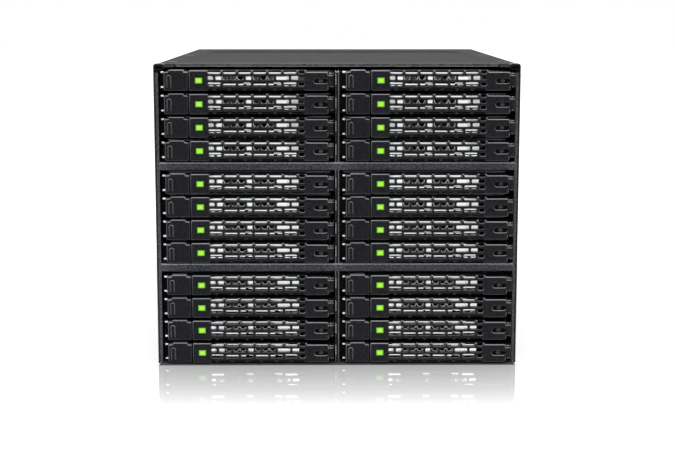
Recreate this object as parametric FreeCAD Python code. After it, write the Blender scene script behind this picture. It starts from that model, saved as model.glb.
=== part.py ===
import FreeCAD, Part
import math
import os

# Millimetres: X runs across the front, Y from front to back, Z up

# Cage
body_width = 146.0
flange_width = 148.4
height = 124.0
depth = 177.0
wall = 0.7
cover_sheet = 1.0
flange_setback = 3.0
cover_setback = 11.0
top_rail_width = 6.0
corner_post_width = 1.9
corner_post_height = 3.7
corner_post_length = 6.0
corner_post_round = 1.2

# Rows and columns of trays
bays = 3
rows_per_bay = 4
bay_pitch = 41.9
row_pitch = 9.48
top_row_z = 117.4
column_x = 36.6
columns = (-column_x, column_x)

# Runners that carry the trays
runner_reach = 2.2
runner_sheet = 0.7
runner_gap = 0.1
runner_start = 14.0
runner_end = 116.0

# Centre divider and the bars across the front
divider_width = 1.6
bar_height = 3.6
bar_depth = 8.0
bar_sheet = 0.8
bar_drop = 0.41

# Side holes of the 5.25-inch device outline, in the lowest and the highest bay
side_hole_r = 1.25
side_hole_first = 47.4
side_hole_spacing = 79.25
side_hole_height = 21.84
bay_height = 41.3
side_hole_bays = (0, 2)

# Pressed panel in the top cover
panel_half_width = 62.5
panel_start = 22.0
panel_end = 131.0
panel_depth = 0.5
panel_round = 9.0

# Tray and the 2.5-inch drive in it
tray_width = 70.95
tray_sheet = 0.5
tray_bottom = -4.15
rail_top = 2.0
tray_front = 7.6
tray_rear = 117.0
front_wall_top = 3.4
drive_width = 69.85
drive_length = 100.0
drive_height = 7.0
drive_start = 17.95

# Ears of the tray: catch at the left end, hinge at the right end
ear_sheet = 0.7
ear_width = 1.0
ear_left = -34.3
ear_start = 2.0
ear_z = (2.9, -3.05)
hinge_ear_gap = 0.15
hinge_ear_left = 33.45

# Swing lever: a channel with a slotted face
lever_left = -22.9
lever_right = 33.1
lever_half_height = 4.05
lever_step_x = 24.2
lever_end_top = 3.4
lever_depth = 7.0
lever_sheet = 1.0
hinge_x = 34.0
hinge_r = 1.25
tongue_half_height = 2.1

# Vent slots in two staggered rows
slot_length = 5.2
slot_height = 1.5
slot_pitch = 6.09
slots_per_row = 6
slot_first = -15.4
slot_z = (1.05, -1.42)
slot_shift = (slot_pitch / 2.0, 0.0)

# Bright liner behind the slots
liner_x = (-16.2, 20.9)
liner_z = (-2.1, 3.0)
liner_sheet = 0.8

# Light pipe, release button and lock
light_x = -19.0
light_width = 2.7
light_height = 2.0
fit_gap = 0.05
release_left = -33.0
release_right = -23.4
release_depth = 5.5
release_shoulder = 1.7
release_shoulder_top = 3.4
release_top = 4.2
guide_right = -21.0
guide_y = (1.5, 5.0)
guide_half_height = 3.0
lock_x = 30.0
lock_z = -0.2
lock_width = 5.6
lock_height = 2.0
lock_core_r = 0.9
lock_core_length = 4.5
lock_core_recess = 0.3

# Backplane with sockets in front and ports behind
board_y = 125.4
board_sheet = 1.6
board_margin = 0.4
board_vent_width = 20.0
board_vent_height = 30.0
board_vent_x = 21.0
board_vent_z = (16.0, 60.0, 103.0)
socket_width = 40.0
socket_height = 4.0
socket_length = 7.4
socket_x = -9.0
socket_z = -1.3
port_rows = 6
port_pitch = 19.0
port_first_z = 14.5
port_length = 18.0
data_port_x = 31.0
data_port_width = 22.0
data_port_height = 9.6
data_port_wall = 1.2
data_port_hole = 12.0
power_port_x = 58.0
power_port_width = 24.0
power_port_height = 6.4
power_slot_width = 20.0
power_slot_height = 2.2
power_slot_depth = 7.0

# Rear panel and fan
panel_y = 143.0
panel_sheet = 1.0
panel_tab = 8.0
port_room = 0.8
fan_x = -27.0
fan_z = 62.0
fan_size = 80.0
fan_thickness = 25.0
fan_bore_r = 37.8
fan_window = 72.0
fan_window_cut = 18.0
fan_motor_width = 30.0
fan_motor_cut = 9.0
fan_motor_sheet = 2.0
fan_strut_width = 3.0
fan_struts = 4
fan_strut_turn = 45.0
rotor_hub_r = 15.5
rotor_hub_length = 18.0
rotor_hub_start = 3.5
rotor_blades = 7
blade_tip_r = 35.0
blade_root_chord = 13.0
blade_tip_chord = 24.0
blade_pitch = 50.0
blade_sheet = 1.6
blade_root_sink = 2.0

front = -depth / 2.0
half_body = body_width / 2.0
inner_half = half_body - wall
wall_top = height - cover_sheet
backward = FreeCAD.Vector(0, 1, 0)


def row_heights():
    """Middle heights of the twelve tray rows, from the top."""
    rows = []
    for bay in range(bays):
        for row in range(rows_per_bay):
            rows.append(top_row_z - bay * bay_pitch - row * row_pitch)
    return rows


def bar_tops():
    """Top heights of the bars that part the bays."""
    tops = []
    for bay in range(bays - 1):
        last_row = top_row_z - bay * bay_pitch - (rows_per_bay - 1) * row_pitch
        tops.append(last_row + tray_bottom - bar_drop)
    return tops


def span(x, y, z):
    """Box between pairs of limits; the Y limits count from the front."""
    corner = FreeCAD.Vector(x[0], front + y[0], z[0])
    return Part.makeBox(x[1] - x[0], y[1] - y[0], z[1] - z[0], corner)


def around(x, z, width, high, y):
    """Box centred on x and z between two distances from the front."""
    return span((x - width / 2.0, x + width / 2.0), y, (z - high / 2.0, z + high / 2.0))


def prism(points, direction):
    """Solid swept from a closed outline; the Y values count from the front."""
    outline = [FreeCAD.Vector(x, front + y, z) for x, y, z in points]
    face = Part.Face(Part.makePolygon(outline + outline[:1]))
    return face.extrude(FreeCAD.Vector(*direction))


def bent_sheet(points, thickness, direction):
    """Folded sheet: an open line thickened to the inside of its bends, then swept."""
    line = Part.makePolygon([FreeCAD.Vector(x, front + y, z) for x, y, z in points])
    sections = [line.makeOffset2D(offset, 2, True, True) for offset in (-thickness, thickness)]
    inner = min(sections, key=lambda section: section.BoundBox.DiagonalLength)
    return inner.extrude(FreeCAD.Vector(*direction))


def cut_square(x, z, width, cut, y):
    """Square block with cut corners, centred on x and z between two distances from the front."""
    half = width / 2.0
    near = half - cut
    corners = [(half, near), (near, half), (-near, half), (-half, near),
               (-half, -near), (-near, -half), (near, -half), (half, -near)]
    return prism([(x + dx, y[0], z + dz) for dx, dz in corners], (0, y[1] - y[0], 0))


def joined(shapes):
    """One clean solid from touching shapes."""
    whole = shapes[0].fuse(shapes[1:])
    return whole.removeSplitter().Solids[0]


def runners(face_x, inward):
    """Strips along one upright sheet, one under each tray but the lowest."""
    strips = []
    limits = sorted((face_x, face_x + inward * runner_reach))
    for row_z in row_heights()[:-1]:
        top = row_z + tray_bottom - runner_gap
        strips.append(span(limits, (runner_start, runner_end), (top - runner_sheet, top)))
    return strips


def make_chassis():
    """Folded base, walls and top rails with front flanges and side holes."""
    rail = inner_half - top_rail_width
    fold = [(-rail, wall_top), (-half_body, wall_top), (-half_body, 0.0),
            (half_body, 0.0), (half_body, wall_top), (rail, wall_top)]
    shell = bent_sheet([(x, flange_setback, z) for x, z in fold], wall, (0, depth - flange_setback, 0))
    shapes = [shell]
    holes = []
    for side in (-1.0, 1.0):
        lip = side * flange_width / 2.0
        post = side * (flange_width / 2.0 - corner_post_width)
        flange_y = (flange_setback, flange_setback + wall)
        shapes.append(span(sorted((lip, side * inner_half)), flange_y, (0.0, height - corner_post_height)))
        post_y = (flange_setback, flange_setback + corner_post_length)
        corner = span(sorted((lip, post)), post_y, (height - corner_post_height, height))
        crown = [edge for edge in corner.Edges if edge.BoundBox.ZMin > height - 0.01
                 and edge.BoundBox.YMax < front + flange_setback + 0.01]
        shapes.append(corner.makeFillet(corner_post_round, crown))
        for bay in side_hole_bays:
            for step in range(2):
                y = front + flange_setback + side_hole_first + step * side_hole_spacing
                start = FreeCAD.Vector(side * (half_body + 1.0), y, side_hole_height + bay * bay_height)
                inward = FreeCAD.Vector(-side, 0, 0)
                holes.append(Part.makeCylinder(side_hole_r, wall + 2.0, start, inward))
    return joined(shapes).cut(holes).Solids[0]


def make_cover():
    """Top sheet with a shallow pressed panel."""
    sheet = span((-half_body, half_body), (cover_setback, depth), (wall_top, height))
    panel_limits = (cover_setback + panel_start, cover_setback + panel_end)
    panel = span((-panel_half_width, panel_half_width), panel_limits, (height - panel_depth, height + 1.0))
    upright = [edge for edge in panel.Edges if edge.BoundBox.ZLength > panel_depth]
    return sheet.cut(panel.makeFillet(panel_round, upright)).Solids[0]


def make_divider():
    """Upright sheet between the columns, notched for the bars."""
    half = divider_width / 2.0
    notch = flange_setback + bar_depth
    edge = [(flange_setback, wall_top)]
    for top in bar_tops():
        edge.extend([(flange_setback, top), (notch, top)])
        edge.extend([(notch, top - bar_height), (flange_setback, top - bar_height)])
    edge.extend([(flange_setback, wall), (board_y, wall), (board_y, wall_top)])
    return prism([(-half, y, z) for y, z in edge], (divider_width, 0, 0))


def make_bar(top):
    """Channel bar across the front, open to the back."""
    low = top - bar_height
    back = flange_setback + bar_depth
    fold = [(back, top), (flange_setback, top), (flange_setback, low), (back, low)]
    return bent_sheet([(-inner_half, y, z) for y, z in fold], bar_sheet, (2.0 * inner_half, 0, 0))


def make_board():
    """Backplane board with vents beside the sockets."""
    half = inner_half - board_margin
    limits_z = (wall + board_margin, wall_top - wall - board_margin)
    board = span((-half, half), (board_y, board_y + board_sheet), limits_z)
    hole_y = (board_y - 1.0, board_y + board_sheet + 1.0)
    vents = []
    for x in columns:
        for z in board_vent_z:
            vents.append(around(x + board_vent_x, z, board_vent_width, board_vent_height, hole_y))
    return board.cut(vents).Solids[0]


def make_socket(x, row_z):
    """Drive socket on the front of the board."""
    y_limits = (board_y - socket_length, board_y)
    return around(x + socket_x, row_z + socket_z, socket_width, socket_height, y_limits)


def make_ports():
    """Data and power ports on the back of the board, one pair a row."""
    ports = []
    start = board_y + board_sheet
    end = start + port_length
    hole_wide = data_port_width - 2.0 * data_port_wall
    hole_high = data_port_height - 2.0 * data_port_wall
    for row in range(port_rows):
        z = port_first_z + row * port_pitch
        data = around(data_port_x, z, data_port_width, data_port_height, (start, end))
        mouth = around(data_port_x, z, hole_wide, hole_high, (end - data_port_hole, end + 1.0))
        power = around(power_port_x, z, power_port_width, power_port_height, (start, end))
        slot = around(power_port_x, z, power_slot_width, power_slot_height, (end - power_slot_depth, end + 1.0))
        ports.extend([data.cut(mouth).Solids[0], power.cut(slot).Solids[0]])
    return ports


def make_rear_panel():
    """Folded sheet that carries the fan and frames the ports, with tabs along the walls."""
    low = wall
    high = wall_top - wall
    fold = [(inner_half, panel_y + panel_tab), (inner_half, panel_y),
            (-inner_half, panel_y), (-inner_half, panel_y + panel_tab)]
    panel = bent_sheet([(x, y, low) for x, y in fold], panel_sheet, (0, 0, high - low))
    through = (panel_y - 1.0, panel_y + panel_sheet + 1.0)
    windows = [cut_square(fan_x, fan_z, fan_window, fan_window_cut, through)]
    left = data_port_x - data_port_width / 2.0 - port_room
    right = power_port_x + power_port_width / 2.0 + port_room
    reach = data_port_height / 2.0 + port_room
    for row in range(port_rows):
        z = port_first_z + row * port_pitch
        windows.append(span((left, right), through, (z - reach, z + reach)))
    return panel.cut(windows).Solids[0]


def make_fan_frame():
    """Square fan frame with the motor held by struts at the back."""
    start = panel_y + panel_sheet
    end = start + fan_thickness
    middle = FreeCAD.Vector(fan_x, front + start - 1.0, fan_z)
    frame = around(fan_x, fan_z, fan_size, fan_size, (start, end))
    frame = frame.cut(Part.makeCylinder(fan_bore_r, fan_thickness + 2.0, middle, backward))
    sheet_y = (end - fan_motor_sheet, end)
    shapes = [frame, cut_square(fan_x, fan_z, fan_motor_width, fan_motor_cut, sheet_y)]
    reach = (fan_x + fan_motor_width / 2.0 - fan_motor_cut, fan_x + fan_bore_r + 0.5)
    side = (fan_z - fan_strut_width / 2.0, fan_z + fan_strut_width / 2.0)
    for step in range(fan_struts):
        strut = span(reach, sheet_y, side)
        strut.rotate(middle, backward, fan_strut_turn + step * 360.0 / fan_struts)
        shapes.append(strut)
    return joined(shapes)


def make_blade():
    """One flat blade along X, wider at its tip, tilted by the pitch."""
    root = rotor_hub_r - blade_root_sink
    corners = [(root, -blade_root_chord), (blade_tip_r, -blade_tip_chord),
               (blade_tip_r, blade_tip_chord), (root, blade_root_chord)]
    points = [FreeCAD.Vector(x, -blade_sheet / 2.0, z / 2.0) for x, z in corners]
    blade = Part.Face(Part.makePolygon(points + points[:1])).extrude(backward * blade_sheet)
    blade.rotate(FreeCAD.Vector(0, 0, 0), FreeCAD.Vector(1, 0, 0), blade_pitch - 90.0)
    return blade


def make_rotor():
    """Hub with pitched blades on the fan axis."""
    start = FreeCAD.Vector(fan_x, front + panel_y + panel_sheet + rotor_hub_start, fan_z)
    hub = Part.makeCylinder(rotor_hub_r, rotor_hub_length, start, backward)
    blade = make_blade()
    blade.translate(start + backward * (rotor_hub_length / 2.0))
    shapes = [hub]
    for step in range(rotor_blades):
        turned = blade.copy()
        turned.rotate(start, backward, step * 360.0 / rotor_blades)
        shapes.append(turned)
    return joined(shapes)


def make_carrier(x, row_z):
    """Folded tray with a front wall, catch ears at its left and hinge ears at its right."""
    half = tray_width / 2.0
    low = row_z + tray_bottom
    fold = [(-half, rail_top), (-half, tray_bottom), (half, tray_bottom), (half, rail_top)]
    length = (0, tray_rear - tray_front, 0)
    tray = bent_sheet([(x + dx, tray_front, row_z + dz) for dx, dz in fold], tray_sheet, length)
    wall_y = (tray_front, tray_front + tray_sheet)
    shapes = [tray, span((x - half, x + half), wall_y, (low, row_z + front_wall_top))]
    for z in ear_z:
        reach = (x + ear_left, x + ear_left + ear_width)
        shapes.append(span(reach, (ear_start, tray_front), (row_z + z, row_z + z + ear_sheet)))
    for z in (tongue_half_height + hinge_ear_gap, -tongue_half_height - hinge_ear_gap - ear_sheet):
        reach = (x + hinge_ear_left, x + hinge_x + hinge_r)
        shapes.append(span(reach, (hinge_r / 2.0, tray_front), (row_z + z, row_z + z + ear_sheet)))
    return joined(shapes)


def make_drive(x, row_z):
    """Drive of 7 mm height that lies in the tray and ends at its socket."""
    middle = row_z + tray_bottom + tray_sheet + drive_height / 2.0
    return around(x, middle, drive_width, drive_height, (drive_start, drive_start + drive_length))


def make_tongue(x, row_z):
    """Hinge end of the lever, rounded about the hinge where it passes the wall."""
    low = row_z - tongue_half_height
    left = x + lever_right
    right = x + hinge_x + hinge_r
    start = FreeCAD.Vector(left, front, low)
    turn = FreeCAD.Vector(x + hinge_x, front, low)
    bend = FreeCAD.Vector(x + hinge_x + hinge_r * math.sqrt(0.5), front + hinge_r * (1.0 - math.sqrt(0.5)), low)
    side = FreeCAD.Vector(right, front + hinge_r, low)
    back = FreeCAD.Vector(right, front + 2.0 * hinge_r, low)
    end = FreeCAD.Vector(left, front + 2.0 * hinge_r, low)
    edges = [
        Part.makeLine(start, turn),
        Part.Arc(turn, bend, side).toShape(),
        Part.makeLine(side, back),
        Part.makeLine(back, end),
        Part.makeLine(end, start),
    ]
    return Part.Face(Part.Wire(edges)).extrude(FreeCAD.Vector(0, 0, 2.0 * tongue_half_height))


def make_lever(x, row_z):
    """Folded channel lever, lower at its lock end, with vent slots, light and lock windows and hinge tongue."""
    low = row_z - lever_half_height
    channels = []
    lengths = ((lever_left, lever_step_x, lever_half_height), (lever_step_x, lever_right, lever_end_top))
    for left, right, rise in lengths:
        top = row_z + rise
        fold = [(lever_depth, top), (0.0, top), (0.0, low), (lever_depth, low)]
        channels.append(bent_sheet([(x + left, y, z) for y, z in fold], lever_sheet, (right - left, 0, 0)))
    channel = joined(channels)
    through = (-1.0, lever_sheet + 1.0)
    openings = [
        around(x + light_x, row_z, light_width + 2.0 * fit_gap, light_height + 2.0 * fit_gap, through),
        around(x + lock_x, row_z + lock_z, lock_width, lock_height, through),
    ]
    for z, shift in zip(slot_z, slot_shift):
        for step in range(slots_per_row):
            middle = slot_first + shift + slot_length / 2.0 + step * slot_pitch
            openings.append(around(x + middle, row_z + z, slot_length, slot_height, through))
    return joined([channel.cut(openings), make_tongue(x, row_z)])


def make_liner(x, row_z):
    """Bright sheet that lies against the back of the lever's face, behind the slots."""
    limits_x = (x + liner_x[0], x + liner_x[1])
    limits_z = (row_z + liner_z[0], row_z + liner_z[1])
    return span(limits_x, (lever_sheet, lever_sheet + liner_sheet), limits_z)


def make_light_pipe(x, row_z):
    """Clear light pipe behind its window in the lever."""
    return around(x + light_x, row_z, light_width, light_height, (0.0, lever_depth))


def make_release(x, row_z):
    """Push release with lowered shoulders, and a guide that slides between the lever's folded edges."""
    inner_left = release_left + release_shoulder
    inner_right = release_right - release_shoulder
    outline = [
        (release_left, -lever_half_height),
        (release_right, -lever_half_height),
        (release_right, release_shoulder_top),
        (inner_right, release_shoulder_top),
        (inner_right, release_top),
        (inner_left, release_top),
        (inner_left, release_shoulder_top),
        (release_left, release_shoulder_top),
    ]
    button = prism([(x + dx, 0.0, row_z + dz) for dx, dz in outline], (0, release_depth, 0))
    limits_z = (row_z - guide_half_height, row_z + guide_half_height)
    guide = span((x + release_right, x + guide_right), guide_y, limits_z)
    return joined([button, guide])


def make_lock(x, row_z):
    """Turning lock core in the middle of its window."""
    face = FreeCAD.Vector(x + lock_x, front + lock_core_recess, row_z + lock_z)
    return Part.makeCylinder(lock_core_r, lock_core_length, face, backward)


def export(node, shapes):
    """Write one node's solids."""
    shape = shapes[0] if len(shapes) == 1 else Part.makeCompound(shapes)
    shape.exportStep("parts/%s.step" % node)


os.makedirs("parts", exist_ok=True)
export("chassis_shell", [make_chassis()] + runners(-inner_half, 1.0) + runners(inner_half, -1.0))
export("top_cover", [make_cover()])
half_divider = divider_width / 2.0
export("centre_divider", [make_divider()] + runners(half_divider, 1.0) + runners(-half_divider, -1.0))
export("bay_bars", [make_bar(top) for top in bar_tops()])
export("backplane_board", [make_board()])
export("drive_sockets", [make_socket(x, z) for x in columns for z in row_heights()])
export("cable_ports", make_ports())
export("rear_panel", [make_rear_panel()])
export("fan_frame", [make_fan_frame()])
export("fan_rotor", [make_rotor()])

number = 0
for tray_x in columns:
    for tray_z in row_heights():
        number += 1
        handle = [make_lever(tray_x, tray_z), make_light_pipe(tray_x, tray_z), make_liner(tray_x, tray_z)]
        if number == 1:
            export("release_01", [make_release(tray_x, tray_z)])
            export("lock_01", [make_lock(tray_x, tray_z)])
        else:
            handle.append(make_release(tray_x, tray_z))
        export("tray_%02d" % number, [make_carrier(tray_x, tray_z), make_drive(tray_x, tray_z)])
        export("lever_%02d" % number, handle)
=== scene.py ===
"""Dressed hot-swap drive cage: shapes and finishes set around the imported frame."""

import logging
import math
from dataclasses import dataclass, replace
from enum import Enum

import bpy
import numpy as np
from mathutils.geometry import tessellate_polygon
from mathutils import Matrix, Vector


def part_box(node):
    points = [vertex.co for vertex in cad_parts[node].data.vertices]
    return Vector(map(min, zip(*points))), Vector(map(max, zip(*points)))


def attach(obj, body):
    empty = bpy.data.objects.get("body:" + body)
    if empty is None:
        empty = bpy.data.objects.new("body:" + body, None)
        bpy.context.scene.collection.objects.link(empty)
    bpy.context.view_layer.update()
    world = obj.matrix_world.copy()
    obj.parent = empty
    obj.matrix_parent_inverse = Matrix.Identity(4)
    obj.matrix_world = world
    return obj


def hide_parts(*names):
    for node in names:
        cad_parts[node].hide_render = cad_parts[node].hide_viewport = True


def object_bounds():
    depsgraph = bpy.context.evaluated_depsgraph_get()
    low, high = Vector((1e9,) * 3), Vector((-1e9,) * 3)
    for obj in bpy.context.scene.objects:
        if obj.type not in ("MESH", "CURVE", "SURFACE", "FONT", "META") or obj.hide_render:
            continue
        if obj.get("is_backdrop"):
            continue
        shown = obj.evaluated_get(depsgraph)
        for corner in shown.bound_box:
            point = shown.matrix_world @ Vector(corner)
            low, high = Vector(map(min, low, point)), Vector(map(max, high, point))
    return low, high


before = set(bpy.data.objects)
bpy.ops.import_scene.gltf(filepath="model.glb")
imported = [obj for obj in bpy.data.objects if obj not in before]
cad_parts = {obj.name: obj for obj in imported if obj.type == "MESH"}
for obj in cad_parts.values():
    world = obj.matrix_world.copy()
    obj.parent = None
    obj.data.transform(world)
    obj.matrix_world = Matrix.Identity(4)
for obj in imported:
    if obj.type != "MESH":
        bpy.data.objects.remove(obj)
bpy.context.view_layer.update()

Array = np.ndarray
Colour = tuple[float, float, float]
Pair = tuple[float, float]
Place = tuple[float, float, float]
Row = tuple[float, ...]
Node = bpy.types.Node
Socket = bpy.types.NodeSocket

MM = 0.001
EDGE_STEPS = 3
SHARP_ANGLE = math.radians(40.0)
WELD_DIGITS = 4
SAME_POINT = 1e-5
SAME_STEP = 1e-6
MITRE_LIMIT = 0.3
ROUND_END = 0.499
ROUND_END_STEPS = 5
MIX_FIRST, MIX_SECOND, MIX_RESULT = 6, 7, 2
UNIT: Pair = (0.0, 1.0)
WHITE: Colour = (1.0, 1.0, 1.0)
BUMP_DEPTH = 0.1 * MM
THIN_EDGE = 0.1
HOLE_EDGE = 0.15
SHEET_EDGE = 0.2
HOLE_STEPS = 20
PIN_STEPS = 16
LOG = logging.getLogger("drive_cage")


class Facing(Enum):
    """Way that a plate's face looks: two outline axes, depth axis, sign of the way in, mirror sign."""

    FRONT = (0, 2, 1, 1.0, 1.0)
    BACK = (0, 2, 1, -1.0, -1.0)
    RIGHT = (1, 2, 0, -1.0, 1.0)
    LEFT = (1, 2, 0, 1.0, -1.0)
    TOP = (0, 1, 2, -1.0, 1.0)
    BOTTOM = (0, 1, 2, 1.0, -1.0)

    def flat(self, outline: Array) -> Array:
        """Give an outline as it is seen by someone who faces the plate.

        Args:
            outline: corners in the two world axes, anticlockwise in that pair.

        Returns:
            Corners that run anticlockwise for the viewer.
        """
        mirror = self.value[4]
        loop = np.asarray(outline, float)
        if mirror < 0.0:
            loop = loop[::-1]
        return loop * (mirror, 1.0)

    def place(self, flat: Array, start: float, depth: float | Array) -> Array:
        """Put viewer's points into space.

        Args:
            flat: points as the viewer sees them, two numbers each.
            start: where the face's plane crosses the depth axis.
            depth: how far each point lies behind that plane.

        Returns:
            The points in space, three numbers each.
        """
        first, second, axis, into, mirror = self.value
        points = np.empty(flat.shape[:-1] + (3,))
        points[..., first] = mirror * flat[..., 0]
        points[..., second] = flat[..., 1]
        points[..., axis] = start + into * depth
        return points


def box_outline(left: float, low: float, right: float, high: float) -> Array:
    """Give the four corners of a box, anticlockwise."""
    return np.array([(left, low), (right, low), (right, high), (left, high)], float)


def around(x: float, z: float, width: float, high: float) -> Array:
    """Give the corners of a box centred on a point."""
    return box_outline(x - width / 2.0, z - high / 2.0, x + width / 2.0, z + high / 2.0)


def side_box(sign: float, inner: float, outer: float, low: float, high: float) -> Array:
    """Give a box between two distances from the middle, on the side that the sign names."""
    left, right = sorted((sign * inner, sign * outer))
    return box_outline(left, low, right, high)


def rounded(corners: Array, radius: float | Array, steps: int = 4) -> Array:
    """Round an outline: each corner becomes an arc that touches its two sides.

    The arc's centre lies on the corner's bisector at radius / sin(half angle), and the arc runs from
    one touching point to the other.

    Args:
        corners: outline corners in order.
        radius: one radius for all corners, or one for each; zero keeps a corner sharp.
        steps: straight steps in each arc.

    Returns:
        The rounded outline, with no point twice.
    """
    corners = np.asarray(corners, float)
    radii = np.broadcast_to(np.asarray(radius, float), len(corners))
    before = np.roll(corners, 1, axis=0) - corners
    after = np.roll(corners, -1, axis=0) - corners
    before /= np.linalg.norm(before, axis=1)[:, None]
    after /= np.linalg.norm(after, axis=1)[:, None]
    half = 0.5 * np.arccos(np.clip((before * after).sum(axis=1), -1.0, 1.0))
    bisector = before + after
    bisector /= np.linalg.norm(bisector, axis=1)[:, None]
    centre = corners + bisector * (radii / np.sin(half))[:, None]
    reach = (radii / np.tan(half))[:, None]
    begin = corners + before * reach - centre
    end = corners + after * reach - centre
    first = np.arctan2(begin[:, 1], begin[:, 0])
    sweep = np.arctan2(end[:, 1], end[:, 0]) - first
    sweep = (sweep + math.pi) % (2.0 * math.pi) - math.pi
    angle = first[:, None] + sweep[:, None] * np.linspace(0.0, 1.0, steps + 1)
    arc = np.stack((np.cos(angle), np.sin(angle)), axis=-1) * radii[:, None, None]
    loop = (centre[:, None, :] + arc).reshape(-1, 2)
    moved = np.linalg.norm(loop - np.roll(loop, 1, axis=0), axis=1) > SAME_POINT
    return loop[moved]


def obround(x: float, z: float, width: float, high: float) -> Array:
    """Give a slot with round ends, centred on a point."""
    return rounded(around(x, z, width, high), ROUND_END * min(width, high), ROUND_END_STEPS)


def circle(x: float, z: float, radius: float, count: int = 24) -> Array:
    """Give a circle as an even polygon, anticlockwise."""
    angle = np.linspace(0.0, 2.0 * math.pi, count, endpoint=False)
    return np.column_stack((x + radius * np.cos(angle), z + radius * np.sin(angle)))


def inward(loop: Array) -> Array:
    """Give each point's mitred way into the material: its two sides' left normals, added and scaled.

    Args:
        loop: points of a closed loop, with the material to the left of its travel.

    Returns:
        For each point the step that moves both its sides in by one.
    """
    ahead = np.roll(loop, -1, axis=0) - loop
    ahead /= np.linalg.norm(ahead, axis=1)[:, None]
    left = np.column_stack((-ahead[:, 1], ahead[:, 0]))
    earlier = np.roll(left, 1, axis=0)
    share = np.maximum(1.0 + (left * earlier).sum(axis=1), MITRE_LIMIT)
    return (left + earlier) / share[:, None]


def rim(edge: float, back: float, thick: float) -> tuple[Array, Array]:
    """Give the profile of a rim: quarter circle at the face, straight wall, quarter circle at the back.

    Args:
        edge: radius at the face.
        back: radius at the back.
        thick: depth of the wall.

    Returns:
        How far each profile point lies inside the outline, and how deep it lies.
    """
    turn = np.linspace(0.0, math.pi / 2.0, EDGE_STEPS + 1)
    inset = np.concatenate((edge * (1.0 - np.sin(turn)), back * (1.0 - np.cos(turn))))
    depth = np.concatenate((edge * (1.0 - np.cos(turn)), thick - back * (1.0 - np.sin(turn))))
    keep = np.append(True, np.hypot(np.diff(inset), np.diff(depth)) > SAME_STEP)
    return inset[keep], depth[keep]


def edge_marks(depth: Array, radius: float) -> Array:
    """Mark the rounded edge of a rim: one inside its arc, nothing on the face and the wall."""
    return ((depth > 0.0) & (depth < radius)).astype(float)


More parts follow.
